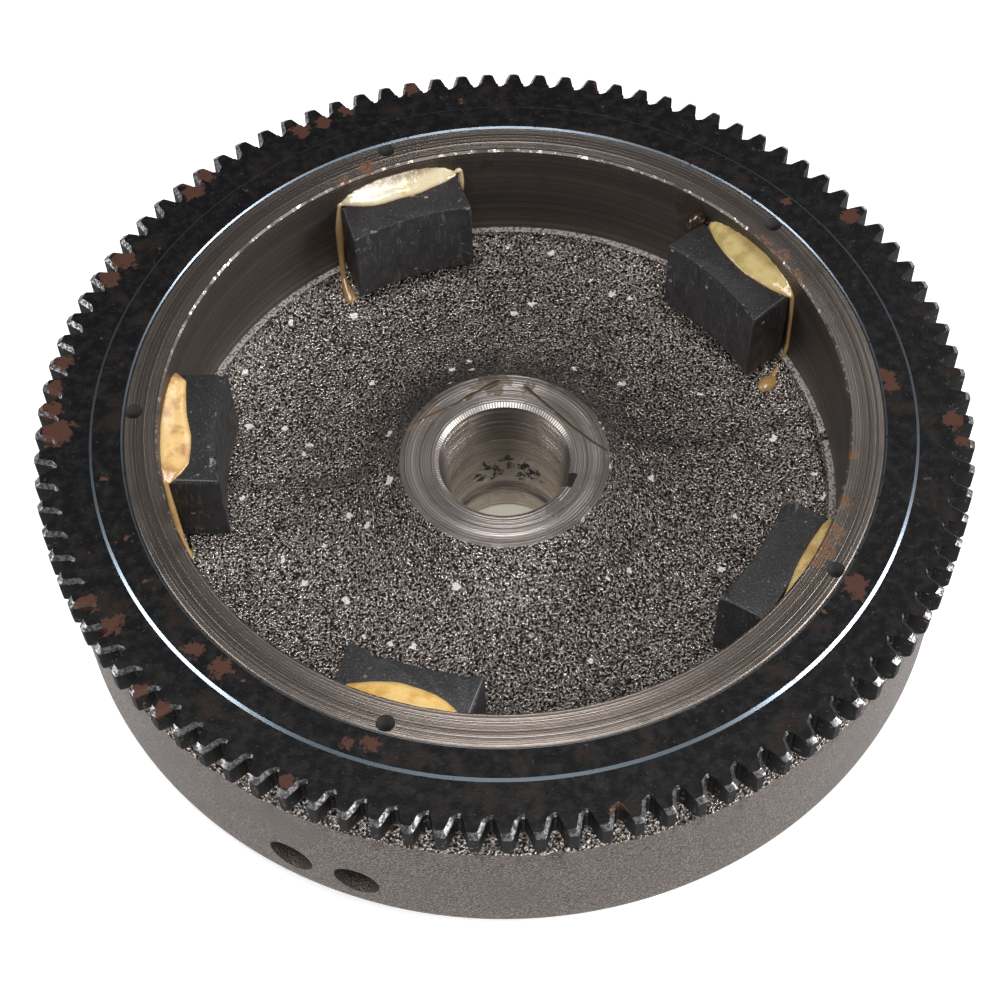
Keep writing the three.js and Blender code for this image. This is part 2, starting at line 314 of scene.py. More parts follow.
DIMPLE_CIRCLE_R = 0.1015
DIMPLE_R = 0.0024
DIMPLE_DEPTH = 0.0018
MAGNET_ANGLES = [38, 108.8, 179, 251.9, 326.8]
BALANCE_ANGLES = [242, 250.6]
BALANCE_Z = 0.0288
BALANCE_R = 0.00635
BALANCE_DEPTH = 0.0130
BALANCE_POINT = 0.0036


def around(radius, degrees, height):
    angle = math.radians(degrees)
    return Vector((radius * math.cos(angle), radius * math.sin(angle), height))


def keyway_cutter():
    deselect()
    length = 0.0500
    bpy.ops.mesh.primitive_cube_add(size=1, location=(0, 0, 0))
    cutter = bpy.context.object
    cutter.scale = (KEYWAY_R, KEYWAY_WIDTH, length)
    cutter.rotation_euler = (0, 0, KEYWAY_ANGLE)
    cutter.location = (
        KEYWAY_R / 2 * math.cos(KEYWAY_ANGLE),
        KEYWAY_R / 2 * math.sin(KEYWAY_ANGLE),
        KEYWAY_END_Z + length / 2,
    )
    return cutter


def dimple_cutter(degrees):
    deselect()
    above = 0.0010
    slope = DIMPLE_R / DIMPLE_DEPTH
    bpy.ops.mesh.primitive_cone_add(
        vertices=24,
        radius1=0.0002,
        radius2=DIMPLE_R + above * slope,
        depth=DIMPLE_DEPTH + above,
        location=around(DIMPLE_CIRCLE_R, degrees, RIM_FACE_Z - DIMPLE_DEPTH / 2 + above / 2),
    )
    return bpy.context.object


def balance_drill(degrees):
    """A drill with its point towards the crank axis."""
    deselect()
    clear = 0.0030
    length = BALANCE_DEPTH + clear
    bpy.ops.mesh.primitive_cylinder_add(vertices=40, radius=BALANCE_R, depth=length)
    drill = bpy.context.object
    enter_edit()
    bpy.ops.mesh.select_mode(type="FACE")
    bpy.ops.mesh.select_all(action="DESELECT")
    leave_edit()
    for face in drill.data.polygons:
        face.select = face.normal.z < -0.9
    enter_edit()
    bpy.ops.mesh.extrude_region_move(TRANSFORM_OT_translate={"value": (0, 0, -BALANCE_POINT)})
    bpy.ops.mesh.merge(type="CENTER")
    leave_edit()
    drill.rotation_euler = (0, math.radians(90), math.radians(degrees))
    drill.location = around(OUTER_R + clear - length / 2, degrees, BALANCE_Z)
    return drill


dimples = [dimple_cutter(a) for a in MAGNET_ANGLES]
drills = [balance_drill(a) for a in BALANCE_ANGLES]
cut(casting, [keyway_cutter(), *dimples, *drills])


def smooth(piece, degrees=32):
    make_active(piece)
    bpy.ops.object.shade_smooth_by_angle(angle=math.radians(degrees))


smooth(casting)


def put(tree, kind, inputs=(), **settings):
    """Adds a node. Each input is a value or another node's socket, by name or number."""
    made = tree.nodes.new(kind)
    for label, value in settings.items():
        setattr(made, label, value)
    for label, value in dict(inputs).items():
        if isinstance(value, bpy.types.NodeSocket):
            tree.links.new(value, made.inputs[label])
        else:
            made.inputs[label].default_value = value
    return made


def math_of(tree, operation, a, b=0.0):
    return put(tree, "ShaderNodeMath", {0: a, 1: b}, operation=operation).outputs[0]


def times(tree, a, b):
    return math_of(tree, "MULTIPLY", a, b)


def fade(tree, value, low, high):
    """0 below low, 1 above high, and a soft step between; the other way round where low is above high."""
    return put(
        tree,
        "ShaderNodeMapRange",
        {"Value": value, "From Min": low, "From Max": high},
        interpolation_type="SMOOTHSTEP",
    ).outputs[0]


def noise(tree, vector, scale, detail=2.0, roughness=0.5, gives="Fac"):
    inputs = {"Vector": vector, "Scale": scale, "Detail": detail, "Roughness": roughness}
    return put(tree, "ShaderNodeTexNoise", inputs).outputs[gives]


def vector_math(tree, operation, inputs, gives=0):
    return put(tree, "ShaderNodeVectorMath", inputs, operation=operation).outputs[gives]


def object_place(tree):
    return put(tree, "ShaderNodeTexCoord").outputs["Object"]


def new_group(name, inputs, outputs):
    """A node group with named inputs and outputs; gives its tree, what comes in and what goes out."""
    tree = bpy.data.node_groups.new(name, "ShaderNodeTree")
    for label, value in inputs.items():
        kind = "NodeSocketVector" if isinstance(value, tuple) else "NodeSocketFloat"
        tree.interface.new_socket(name=label, in_out="INPUT", socket_type=kind).default_value = value
    for label in outputs:
        tree.interface.new_socket(name=label, in_out="OUTPUT", socket_type="NodeSocketFloat")
    came = tree.nodes.new("NodeGroupInput").outputs
    goes = tree.nodes.new("NodeGroupOutput").inputs
    return tree, came, goes


def place_group(tree, group, **inputs):
    made = tree.nodes.new("ShaderNodeGroup")
    made.node_tree = group
    for label, value in inputs.items():
        socket = made.inputs[label.replace("_", " ")]
        if isinstance(value, bpy.types.NodeSocket):
            tree.links.new(value, socket)
        else:
            socket.default_value = value
    return made.outputs


# Lathe lines: rings on a face and hoops on a wall, deeper in some bands than in others.
turning_marks, came, goes = new_group("turning_marks", {"Spacing": 0.0004}, ["Marks", "Bands"])
place = put(turning_marks, "ShaderNodeSeparateXYZ", {0: object_place(turning_marks)}).outputs
flat = put(turning_marks, "ShaderNodeCombineXYZ", {0: place[0], 1: place[1]}).outputs[0]
reach = vector_math(turning_marks, "LENGTH", {0: flat}, "Value")
section = put(turning_marks, "ShaderNodeCombineXYZ", {0: reach, 2: place[2]}).outputs[0]
lines_per_metre = math_of(turning_marks, "DIVIDE", 1.0, came["Spacing"])
turning_marks.links.new(noise(turning_marks, section, lines_per_metre, 3, 0.7), goes["Marks"])
bands_per_metre = times(turning_marks, lines_per_metre, 0.12)
turning_marks.links.new(noise(turning_marks, section, bands_per_metre, 1), goes["Bands"])

# Sand-cast skin: rounded grains with crevices between them.
cast_grain, came, goes = new_group("cast_grain", {"Grain": 0.001}, ["Height", "Crevices", "Crowns"])
place = object_place(cast_grain)
grains_per_metre = math_of(cast_grain, "DIVIDE", 1.0, came["Grain"])
bend = noise(cast_grain, place, times(cast_grain, grains_per_metre, 1.1), 2, 0.6)
cells = put(
    cast_grain,
    "ShaderNodeTexVoronoi",
    {"Vector": place, "Scale": times(cast_grain, grains_per_metre, 1.05)},
    feature="SMOOTH_F1",
).outputs["Distance"]
height = math_of(cast_grain, "SUBTRACT", times(cast_grain, bend, 1.2), times(cast_grain, cells, 1.15))
cast_grain.links.new(height, goes["Height"])
cast_grain.links.new(fade(cast_grain, height, 0.16, -0.12), goes["Crevices"])
cast_grain.links.new(fade(cast_grain, height, 0.20, 0.36), goes["Crowns"])

# Short radial marks that a chattering tool leaves, evenly around the crank axis.
chatter, came, goes = new_group("chatter", {"Count": 150.0}, ["Marks"])
place = put(chatter, "ShaderNodeSeparateXYZ", {0: object_place(chatter)}).outputs
bearing = math_of(chatter, "ARCTAN2", place[1], place[0])
wave = math_of(chatter, "SINE", times(chatter, bearing, came["Count"]))
chatter.links.new(fade(chatter, wave, -0.4, 0.6), goes["Marks"])

# Uneven tone in soft patches.
mottle, came, goes = new_group("mottle", {"Size": 0.01, "Low": 0.4, "High": 0.6}, ["Mask"])
cloud = noise(mottle, object_place(mottle), math_of(mottle, "DIVIDE", 1.0, came["Size"]), 4, 0.6)
mottle.links.new(fade(mottle, cloud, came["Low"], came["High"]), goes["Mask"])

# Separate specks, a few to each square of the spacing, all under the size.
specks, came, goes = new_group("specks", {"Spacing": 0.006, "Size": 0.0008}, ["Mask"])
shake = noise(specks, object_place(specks), math_of(specks, "DIVIDE", 0.9, came["Size"]), 3, gives="Color")
shake = vector_math(specks, "SCALE", {0: shake, "Scale": times(specks, came["Size"], 2.4)})
ragged = vector_math(specks, "ADD", {0: object_place(specks), 1: shake})
seen = put(
    specks,
    "ShaderNodeTexVoronoi",
    {"Vector": ragged, "Scale": math_of(specks, "DIVIDE", 1.0, came["Spacing"])},
    feature="F1",
).outputs
spread = put(specks, "ShaderNodeSeparateColor", {0: seen["Color"]}).outputs
away = times(specks, seen["Distance"], came["Spacing"])
reach = times(specks, came["Size"], fade(specks, spread[0], 0.35, 1.0))
specks.links.new(math_of(specks, "LESS_THAN", away, reach), goes["Mask"])

# A ragged stain around one place.
stain, came, goes = new_group(
    "stain", {"Place": (0.0, 0.0, 0.0), "Radius": 0.002, "Ragged": 0.001}, ["Mask"]
)
place = object_place(stain)
shake = noise(stain, place, math_of(stain, "DIVIDE", 1.5, came["Radius"]), 4, 0.65, "Color")
shake = vector_math(stain, "SUBTRACT", {0: shake, 1: (0.5, 0.5, 0.5)})
shake = vector_math(stain, "SCALE", {0: shake, "Scale": came["Ragged"]})
shaken = vector_math(stain, "ADD", {0: place, 1: shake})
away = vector_math(stain, "DISTANCE", {0: shaken, 1: came["Place"]}, "Value")
inner = times(stain, came["Radius"], 0.80)
stain.links.new(fade(stain, away, came["Radius"], inner), goes["Mask"])


def patches(tree, size, low, high):
    return place_group(tree, mottle, Size=size, Low=low, High=high)["Mask"]


def stain_at(tree, place, size, ragged):
    return place_group(tree, stain, Place=place, Radius=size, Ragged=ragged * size)["Mask"]


def open_finish(finish):
    return finish.node_tree, finish.node_tree.nodes["Principled BSDF"]


def toned(colour, share):
    return tuple(min(1, share * c) for c in colour)


def new_finish(name, colour, roughness, metallic):
    finish = bpy.data.materials.new(name)
    finish.use_nodes = True
    tree, shader = open_finish(finish)
    shader.inputs["Base Color"].default_value = (*colour, 1)
    shader.inputs["Roughness"].default_value = roughness
    shader.inputs["Metallic"].default_value = metallic
    return finish, tree, shader


def overlay(tree, shader, mask, colour=None, roughness=None, metallic=None):
    """Lays a finish over what the shader already shows, where the mask is 1."""
    for label, value in (("Base Color", colour), ("Roughness", roughness), ("Metallic", metallic)):
        if value is None:
            continue
        under = shader.inputs[label]
        colours = label == "Base Color"
        mix = tree.nodes.new("ShaderNodeMix")
        mix.data_type = "RGBA" if colours else "FLOAT"
        first, second = (6, 7) if colours else (2, 3)
        if under.is_linked:
            tree.links.new(under.links[0].from_socket, mix.inputs[first])
        else:
            mix.inputs[first].default_value = under.default_value
        mix.inputs[second].default_value = (*value, 1) if colours else value
        tree.links.new(mask, mix.inputs[0])
        tree.links.new(mix.outputs[2 if colours else 0], under)


def raise_surface(tree, shader, height, depth):
    """Adds relief of that depth, in metres, to the shader's normal."""
    bump = put(tree, "ShaderNodeBump", {"Height": height, "Distance": depth, "Strength": 1.0})
    under = shader.inputs["Normal"]
    if under.is_linked:
        tree.links.new(under.links[0].from_socket, bump.inputs["Normal"])
    tree.links.new(bump.outputs[0], under)


IRON_DARK = (0.030, 0.025, 0.022)
IRON_BRIGHT = (0.78, 0.73, 0.68)
SAND_WHITE = (0.80, 0.79, 0.77)
RUST_BROWN = (0.105, 0.050, 0.026)
RUST_ORANGE = (0.15, 0.060, 0.024)


def cast_skin(name, tone, grain, depth, rust, sand):
    """As-cast iron: close rounded grains, dark in the crevices, a little rust, and sand that stayed on."""
    finish, tree, shader = new_finish(name, tone, 0.30, 0.95)
    skin = place_group(tree, cast_grain, Grain=grain)
    overlay(tree, shader, patches(tree, 0.016, 0.35, 0.7), toned(tone, 0.7), 0.4)
    overlay(tree, shader, skin["Crevices"], IRON_DARK, 0.6)
    overlay(tree, shader, skin["Crowns"], IRON_BRIGHT, 0.24)
    rusty = patches(tree, 0.005, 0.62, 0.78)
    overlay(tree, shader, times(tree, rusty, rust), RUST_BROWN, 0.7, 0.3)
    grit = place_group(tree, specks, Spacing=0.0062, Size=0.0012)["Mask"]
    overlay(tree, shader, times(tree, grit, sand), SAND_WHITE, 0.9, 0)
    raise_surface(tree, shader, skin["Height"], depth)
    return finish, tree, shader


def turned_skin(name, tone, roughness, spacing, depth, grain_depth):
    """Turned iron: lathe lines over close-grained metal that has darkened with handling."""
    finish, tree, shader = new_finish(name, tone, roughness, 0.95)
    lines = place_group(tree, turning_marks, Spacing=spacing)
    skin = place_group(tree, cast_grain, Grain=0.0005)
    overlay(tree, shader, fade(tree, lines["Bands"], 0.40, 0.62), toned(tone, 0.74))
    overlay(tree, shader, fade(tree, lines["Marks"], 0.54, 0.64), toned(tone, 0.42), roughness + 0.1)
    overlay(tree, shader, fade(tree, lines["Marks"], 0.44, 0.34), toned(tone, 1.6))
    worn = patches(tree, 0.012, 0.50, 0.74)
    overlay(tree, shader, worn, toned(tone, 0.70))
    raise_surface(tree, shader, skin["Height"], grain_depth)
    raise_surface(tree, shader, lines["Marks"], depth)
    return finish, tree, shader


def ground_skin(name, tone):
    """Ground iron: an even close-grained skin with no lines."""
    finish, tree, shader = new_finish(name, tone, 0.5, 0.9)
    skin = place_group(tree, cast_grain, Grain=0.00055)
    overlay(tree, shader, skin["Crowns"], toned(tone, 2.2))
    overlay(tree, shader, skin["Crevices"], toned(tone, 0.3))
    overlay(tree, shader, patches(tree, 0.020, 0.45, 0.75), toned(tone, 0.8))
    raise_surface(tree, shader, skin["Height"], 0.00025)
    return finish, tree, shader


WEB_GREY = (0.27, 0.235, 0.215)
RIM_GREY = (0.30, 0.255, 0.225)
HUB_GREY = (0.46, 0.41, 0.38)
WALL_GREY = (0.084, 0.067, 0.058)
web_skin, tree, shader = cast_skin("cast_web", WEB_GREY, 0.00064, 0.00050, 0.30, 1.0)
shoulder_skin, tree, shader = cast_skin("cast_shoulder", (0.24, 0.205, 0.185), 0.0007, 0.0010, 0.3, 0.3)
fan_skin, tree, shader = cast_skin("cast_fan_side", (0.26, 0.235, 0.215), 0.0011, 0.0008, 0.6, 0.2)
rim_skin, tree, shader = turned_skin("turned_rim", RIM_GREY, 0.33, 0.00070, 0.00045, 0.00003)
hub_skin, tree, shader = turned_skin("turned_hub", HUB_GREY, 0.33, 0.00055, 0.00040, 0.00003)
inner_skin, tree, shader = turned_skin(
    "turned_inner_wall", (0.16, 0.14, 0.125), 0.50, 0.00035, 0.00003, 0.00010
)
outer_skin, tree, shader = ground_skin("ground_outer_wall", WALL_GREY)
bore_skin, tree, shader = turned_skin("turned_bore", (0.80, 0.70, 0.64), 0.26, 0.00040, 0.00040, 0.00003)
ledge_skin, tree, shader = new_finish("turned_ledge", (0.50, 0.46, 0.43), 0.55, 0.45)
skin = place_group(tree, cast_grain, Grain=0.0007)
overlay(tree, shader, skin["Crevices"], (0.12, 0.10, 0.09), 0.7)
raise_surface(tree, shader, skin["Height"], 0.0004)
drill_skin, tree, shader = turned_skin("drilled_hole", (0.15, 0.13, 0.115), 0.30, 0.00040, 0.00010, 0.00035)


def polar(radius, degrees, height):
    return tuple(around(radius, degrees, height))


chamfer_skin, tree, shader = new_finish("chattered_chamfer", (0.80, 0.75, 0.71), 0.30, 0.95)
marks = place_group(tree, chatter)["Marks"]
overlay(tree, shader, marks, (0.30, 0.26, 0.24), 0.45)
raise_surface(tree, shader, marks, 0.00012)

# The dimples are coloured near black, much darker than the rim face around them.
dimple_skin, tree, shader = new_finish("near_black_dimple", (0.012, 0.010, 0.009), 0.7, 0.2)

# The rim's inner corner is nicked, so it shows bright and dark in short lengths.
edge_skin, tree, shader = new_finish("nicked_edge", (0.20, 0.17, 0.15), 0.5, 0.9)
overlay(tree, shader, patches(tree, 0.0014, 0.55, 0.60), (0.85, 0.80, 0.75), 0.3)
overlay(tree, shader, patches(tree, 0.0080, 0.52, 0.60), (0.10, 0.075, 0.06), 0.6)

# Rust that crept out from behind the resin on to the rim: distance out, angle and size of each patch.
RIM_RUST = [
    (0.0961, 113.2, 0.0030),
    (0.0953, 118.5, 0.0022),
    (0.0951, 36.0, 0.0022),
    (0.0953, 31.5, 0.0030),
    (0.0952, 27.0, 0.0022),
    (0.0956, 338.8, 0.0026),
    (0.0962, 332.6, 0.0036),
    (0.0960, 329.6, 0.0036),
    (0.0955, 326.8, 0.0026),
    (0.0948, 348.4, 0.0020),
]
for finish in (rim_skin, edge_skin):
    tree, shader = open_finish(finish)
    for radius, degrees, size in RIM_RUST:
        spot = stain_at(tree, polar(radius, degrees, RIM_FACE_Z), size, 2.6)
        overlay(tree, shader, times(tree, spot, patches(tree, 0.0011, 0.44, 0.52)), RUST_ORANGE, 0.8, 0.1)

# Smears of old resin and handling on the hub face.
HUB_SMEARS = [
    ((-0.0030, 0.0272, HUB_FACE_Z), 0.0052, (0.11, 0.080, 0.050)),
    ((-0.0205, 0.0172, HUB_FACE_Z), 0.0030, (0.17, 0.115, 0.070)),
    ((-0.0255, 0.0118, HUB_FACE_Z), 0.0022, (0.20, 0.130, 0.085)),
    ((0.0072, 0.0250, HUB_FACE_Z), 0.0024, (0.10, 0.070, 0.045)),
    ((0.0140, -0.0165, HUB_FACE_Z), 0.0034, (0.11, 0.095, 0.085)),
    ((0.0265, 0.0105, HUB_FACE_Z), 0.0018, (0.12, 0.105, 0.095)),
]
tree, shader = open_finish(hub_skin)
for spot_place, size, colour in HUB_SMEARS:
    overlay(tree, shader, times(tree, stain_at(tree, spot_place, size, 2.6), 0.75), colour, 0.5, 0.6)

# Oil has dried dark in the bore in spots low down. The far side and the near side of the bore are also
# painted darker all along, as painted shade that leaves the bore bright only in a band part way round on
# each side.
BORE_OIL = [
    ((0.0030, 0.0175, 0.0200), 0.0065),
    ((-0.0055, 0.0165, 0.0185), 0.0045),
    ((0.0085, 0.0155, 0.0190), 0.0045),
]
tree, shader = open_finish(bore_skin)
for spot_place, size in BORE_OIL:
    spot = times(tree, stain_at(tree, spot_place, size, 2.6), patches(tree, 0.0030, 0.46, 0.54))
    overlay(tree, shader, spot, (0.014, 0.011, 0.009), 0.6, 0.2)
across_bore = put(tree, "ShaderNodeSeparateXYZ", {0: object_place(tree)}).outputs[1]
# Painted shade all along the far side of the bore.
far_bore_painted_shade = times(tree, fade(tree, across_bore, 0.0150, 0.0192), 0.85)
overlay(tree, shader, far_bore_painted_shade, (0.060, 0.044, 0.033), 0.45)
# Painted shade all along the near side of the bore, reaching round to its left and right.
near_bore_painted_shade = times(tree, fade(tree, across_bore, 0.0085, 0.0020), 0.8)
overlay(tree, shader, near_bore_painted_shade, (0.14, 0.115, 0.10), 0.40)

# Resin has soaked into the turned wall beside two of the magnets: angle, height and size of each stain.
WALL_STAINS = [
    (98.5, 0.0690, 0.0060),
    (97.0, 0.0600, 0.0050),
    (119.5, 0.0690, 0.0040),
    (53.0, 0.0680, 0.0060),
    (52.0, 0.0600, 0.0060),
    (26.0, 0.0690, 0.0050),
    (91.8, 0.0680, 0.0022),
]
tree, shader = open_finish(inner_skin)
for degrees, height, size in WALL_STAINS:
    spot = times(tree, stain_at(tree, polar(RIM_INNER_R, degrees, height), size, 2.6), 0.8)
    overlay(tree, shader, spot, (0.030, 0.017, 0.010), 0.45, 0.3)

# Pale moulding sand left in the flaw of the web.
tree, shader = open_finish(web_skin)
for x, y, size in ((0.0855, 0.0142, 0.0016), (0.0900, 0.0120, 0.0012), (0.0880, 0.0102, 0.0010)):
    overlay(tree, shader, stain_at(tree, (x, y, WEB_TOP_Z), size, 1.0), (0.48, 0.44, 0.36), 0.9, 0)

# Dark rubbed scratches on the left of the outer wall: angle, height and size.
SCRATCHES = [
    (208, 0.040, 0.0045),
    (213, 0.034, 0.0050),
    (218, 0.027, 0.0050),
    (224, 0.020, 0.0040),
    (205, 0.046, 0.0030),
]
tree, shader = open_finish(outer_skin)
for degrees, height, size in SCRATCHES:
    spot = stain_at(tree, polar(OUTER_R, degrees, height), size, 3.0)
    overlay(tree, shader, times(tree, spot, patches(tree, 0.0025, 0.56, 0.62)), (0.012, 0.010, 0.009), 0.5)


def finish_faces(piece, finish, test):
    """Gives the finish to the faces whose centre and normal pass the test."""
    piece.data.materials.append(finish)
    number = len(piece.data.materials) - 1
    for face in piece.data.polygons:
        if test(radius_of(face.center), face.center.z, face.normal):
            face.material_index = number


casting.data.materials.clear()
finish_faces(casting, fan_skin, lambda r, z, n: True)
finish_faces(casting, web_skin, lambda r, z, n: HUB_FACE_R < r < LEDGE_INNER_R and z > WEB_TOP_Z - 0.003)
finish_faces(casting, hub_skin, lambda r, z, n: r < HUB_FACE_R and z > HUB_FACE_Z - NEAR)
finish_faces(casting, bore_skin, lambda r, z, n: r < KEYWAY_R + 2 * NEAR and z < HUB_FACE_Z - 0.1 * NEAR)


def on_bore_chamfer(r, z, n):
    low = HUB_FACE_Z - BORE_CHAMFER_DEPTH
    return BORE_TOP_R - NEAR < r < BORE_CHAMFER_R and low < z < HUB_FACE_Z - NEAR / 2


def on_ledge(r, z, n):
    return LEDGE_INNER_R - NEAR < r < RIM_INNER_R - NEAR and abs(z - LEDGE_Z) < 3 * NEAR


def on_inner_wall(r, z, n):
    return RIM_INNER_R - NEAR < r < RIM_INNER_R + 3 * NEAR and z > LEDGE_Z


def in_dimple(r, z, n):
    low = RIM_FACE_Z - DIMPLE_DEPTH - 2 * NEAR
    return 0.0980 < r < SEAT_R - EDGE_BREAK and low < z < RIM_FACE_Z - NEAR


def on_inner_corner(r, z, n):
    return r < RIM_INNER_R + EDGE_BREAK + NEAR and z > RIM_FACE_Z - EDGE_BREAK


def in_drilled_hole(r, z, n):
    return 0.1080 < r < OUTER_R - 2 * NEAR and abs(z - BALANCE_Z) < BALANCE_R + NEAR


finish_faces(casting, chamfer_skin, on_bore_chamfer)
finish_faces(casting, inner_skin, lambda r, z, n: r < 0.0205 and z < 0.022 and n.z > 0.3)
finish_faces(casting, ledge_skin, on_ledge)
finish_faces(casting, inner_skin, on_inner_wall)
finish_faces(casting, rim_skin, lambda r, z, n: RIM_INNER_R + 3 * NEAR < r < SEAT_R + NEAR and z > 0.0700)
finish_faces(casting, dimple_skin, in_dimple)
finish_faces(casting, edge_skin, on_inner_corner)
finish_faces(casting, shoulder_skin, lambda r, z, n: r > SEAT_R + NEAR and z > OUTER_TOP_Z)
finish_faces(casting, outer_skin, lambda r, z, n: r > 0.1244 and z < OUTER_TOP_Z)
finish_faces(casting, drill_skin, in_drilled_hole)
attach(casting, "root")
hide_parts("flywheel_body")

# The cooling vanes are cast with the web on the fan side, straight and radial, with straight sides that
# widen into a flared root. They are one casting with the hub and rim.
VANES = 24
VANE_INNER_R = 0.0545
VANE_OUTER_R = 0.1120
VANE_THICKNESS = 0.0040
VANE_ROOT = 0.0016
VANE_ROOT_DEPTH = 0.0045


def repeat_round(piece, count):
    """Copies the piece round the crank axis and joins the copies into one mesh."""
    one_on = bpy.data.objects.new("one_on", None)
    bpy.context.scene.collection.objects.link(one_on)
    one_on.rotation_euler = (0, 0, math.tau / count)
    bpy.context.view_layer.update()
    make_active(piece)
    pattern = piece.modifiers.new("repeat", "ARRAY")
    pattern.count = count
    pattern.use_relative_offset = False
    pattern.use_object_offset = True
    pattern.offset_object = one_on
    bpy.ops.object.modifier_apply(modifier=pattern.name)
    bpy.data.objects.remove(one_on)


vane_top = WEB_BOTTOM_Z + 0.0010
deselect()
bpy.ops.mesh.primitive_cube_add(size=1, location=(0, 0, 0))
fan_vanes = bpy.context.object
fan_vanes.name = "fan_vanes"
fan_vanes.data.name = "fan_vanes"
fan_vanes.scale = (VANE_OUTER_R - VANE_INNER_R, VANE_THICKNESS, vane_top)
fan_vanes.location = ((VANE_INNER_R + VANE_OUTER_R) / 2, 0, vane_top / 2)
bpy.ops.object.transform_apply(location=True, rotation=False, scale=True)
enter_edit()
bpy.ops.mesh.select_mode(type="VERT")
bpy.ops.mesh.select_all(action="SELECT")
bpy.ops.mesh.bisect(plane_co=(0, 0, vane_top - VANE_ROOT_DEPTH), plane_no=(0, 0, 1))
leave_edit()
select_vertices(fan_vanes, lambda p: p.z > vane_top - NEAR)
enter_edit()
flare = 1 + 2 * VANE_ROOT / VANE_THICKNESS
bpy.ops.transform.resize(value=(1, flare, 1), center_override=(0, 0, vane_top))
leave_edit()
repeat_round(fan_vanes, VANES)


def bevel_edges(piece, width):
    make_active(piece)
    modifier = piece.modifiers.new("edge_break", "BEVEL")
    modifier.width = width
    modifier.segments = 2
    modifier.limit_method = "ANGLE"
    modifier.angle_limit = math.radians(35)
    modifier.harden_normals = False
    bpy.ops.object.modifier_apply(modifier=modifier.name)


bevel_edges(fan_vanes, 0.0008)
smooth(fan_vanes)
fan_vanes.data.materials.clear()
fan_vanes.data.materials.append(fan_skin)
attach(fan_vanes, "root")

# The starter ring gear is a steel ring with 99 cut teeth, heated and shrunk on the rim. The tooth ends
# are chamfered on the engine side, at the tip, the root and the flank that the pinion enters by.
TEETH = 99
TIP_R = 0.12827
ROOT_R = 0.122555
TIP_HALF = 0.00115
ROOT_HALF = 0.00305
GEAR_BOTTOM_Z = 0.0645
GEAR_STEP_R = 0.1128
GEAR_STEP_Z = 0.0734
GEAR_BORE_R = 0.10405
ENTRY_CHAMFER = 0.0015
PITCH = math.tau / TEETH
LIFTS = [0.06, 0.16, 0.36, 0.60, 0.82, 0.955]
FLANK_SWELL = 0.00012
ROOT_FILLET = 0.0006
ROOT_CORNER = 0.00035
TIP_CORNER = 0.0002
GEAR_FLAT_R = 0.1195
EDGE_ROUND = 0.0005


def tooth_outline(tip, entry, height):
    """One tooth and half a gap on each side of it, as points in turning order. entry cuts back the flank
    that faces forward, the root and the tip corner there."""
    root = ROOT_R - 0.4 * entry
    points = [(root, -PITCH / 2), (root, -PITCH / 2 + ROOT_CORNER / root)]
    flank = []
    for lift in LIFTS:
        r = ROOT_R + (tip - ROOT_R) * lift
        full = (r - ROOT_R) / (TIP_R - ROOT_R)
        half = ROOT_HALF + (TIP_HALF - ROOT_HALF) * full
        half += FLANK_SWELL * math.sin(math.pi * full)
        half += ROOT_FILLET * max(0.0, LIFTS[1] - lift) / LIFTS[1]
        flank.append((r, half))
    points += [(r, -half / r) for r, half in flank]
    corner = TIP_HALF - TIP_CORNER
    points += [(tip, -corner / tip), (tip, 0), (tip, (corner - 0.5 * entry) / tip)]
    points += [(r, (half - 0.75 * entry) / r) for r, half in reversed(flank)]
    points += [(root, PITCH / 2 - ROOT_CORNER / root), (root, PITCH / 2)]
    return [(r * math.cos(a), r * math.sin(a), height) for r, a in points]


def arc_outline(radius, height):
    """The same number of points as a tooth outline has, evenly along one pitch of a circle."""
    count = 2 * len(LIFTS) + 7
    angles = [PITCH * (i / (count - 1) - 0.5) for i in range(count)]
    return [(radius * math.cos(a), radius * math.sin(a), height) for a in angles]


gear_rows = [
    arc_outline(GEAR_BORE_R, RIM_FACE_Z - EDGE_ROUND),
    arc_outline(GEAR_BORE_R + EDGE_ROUND, RIM_FACE_Z),
    arc_outline(GEAR_STEP_R - 0.0004, RIM_FACE_Z),
    arc_outline(GEAR_STEP_R + 0.0004, GEAR_STEP_Z),
    arc_outline(GEAR_FLAT_R, GEAR_STEP_Z),
    tooth_outline(TIP_R - ENTRY_CHAMFER, ENTRY_CHAMFER, GEAR_STEP_Z),
    tooth_outline(TIP_R, 0, GEAR_STEP_Z - 0.0012),
    tooth_outline(TIP_R, 0, GEAR_BOTTOM_Z + 0.0040),
    tooth_outline(TIP_R, 0, GEAR_BOTTOM_Z + 0.0008),
    tooth_outline(TIP_R - 0.0009, 0.0004, GEAR_BOTTOM_Z),
    arc_outline(GEAR_FLAT_R, GEAR_BOTTOM_Z),
    arc_outline(GEAR_BORE_R + EDGE_ROUND, GEAR_BOTTOM_Z),
    arc_outline(GEAR_BORE_R, GEAR_BOTTOM_Z + EDGE_ROUND),
]
ring_gear = empty_mesh("ring_gear_teeth")
for row in gear_rows:
    lay_wire(row)
leave_edit()


def bridge_rows(piece, rows):
    """Joins each laid row of points to the next with faces, and the last to the first."""
    length = len(rows[0])
    for k in range(len(rows)):
        pair = {k, (k + 1) % len(rows)}
        for vertex in piece.data.vertices:
            vertex.select = vertex.index // length in pair
        for edge in piece.data.edges:
            ends = [v // length for v in edge.vertices]
            edge.select = ends[0] == ends[1] and ends[0] in pair
        for face in piece.data.polygons:
            face.select = False
        enter_edit()
        bpy.ops.mesh.select_mode(type="EDGE")
        bpy.ops.mesh.bridge_edge_loops()
        leave_edit()


bridge_rows(ring_gear, gear_rows)
repeat_round(ring_gear, TEETH)
enter_edit()
bpy.ops.mesh.select_all(action="SELECT")
bpy.ops.mesh.remove_doubles(threshold=1e-5)
bpy.ops.mesh.normals_make_consistent(inside=False)
leave_edit()
smooth(ring_gear, 25)

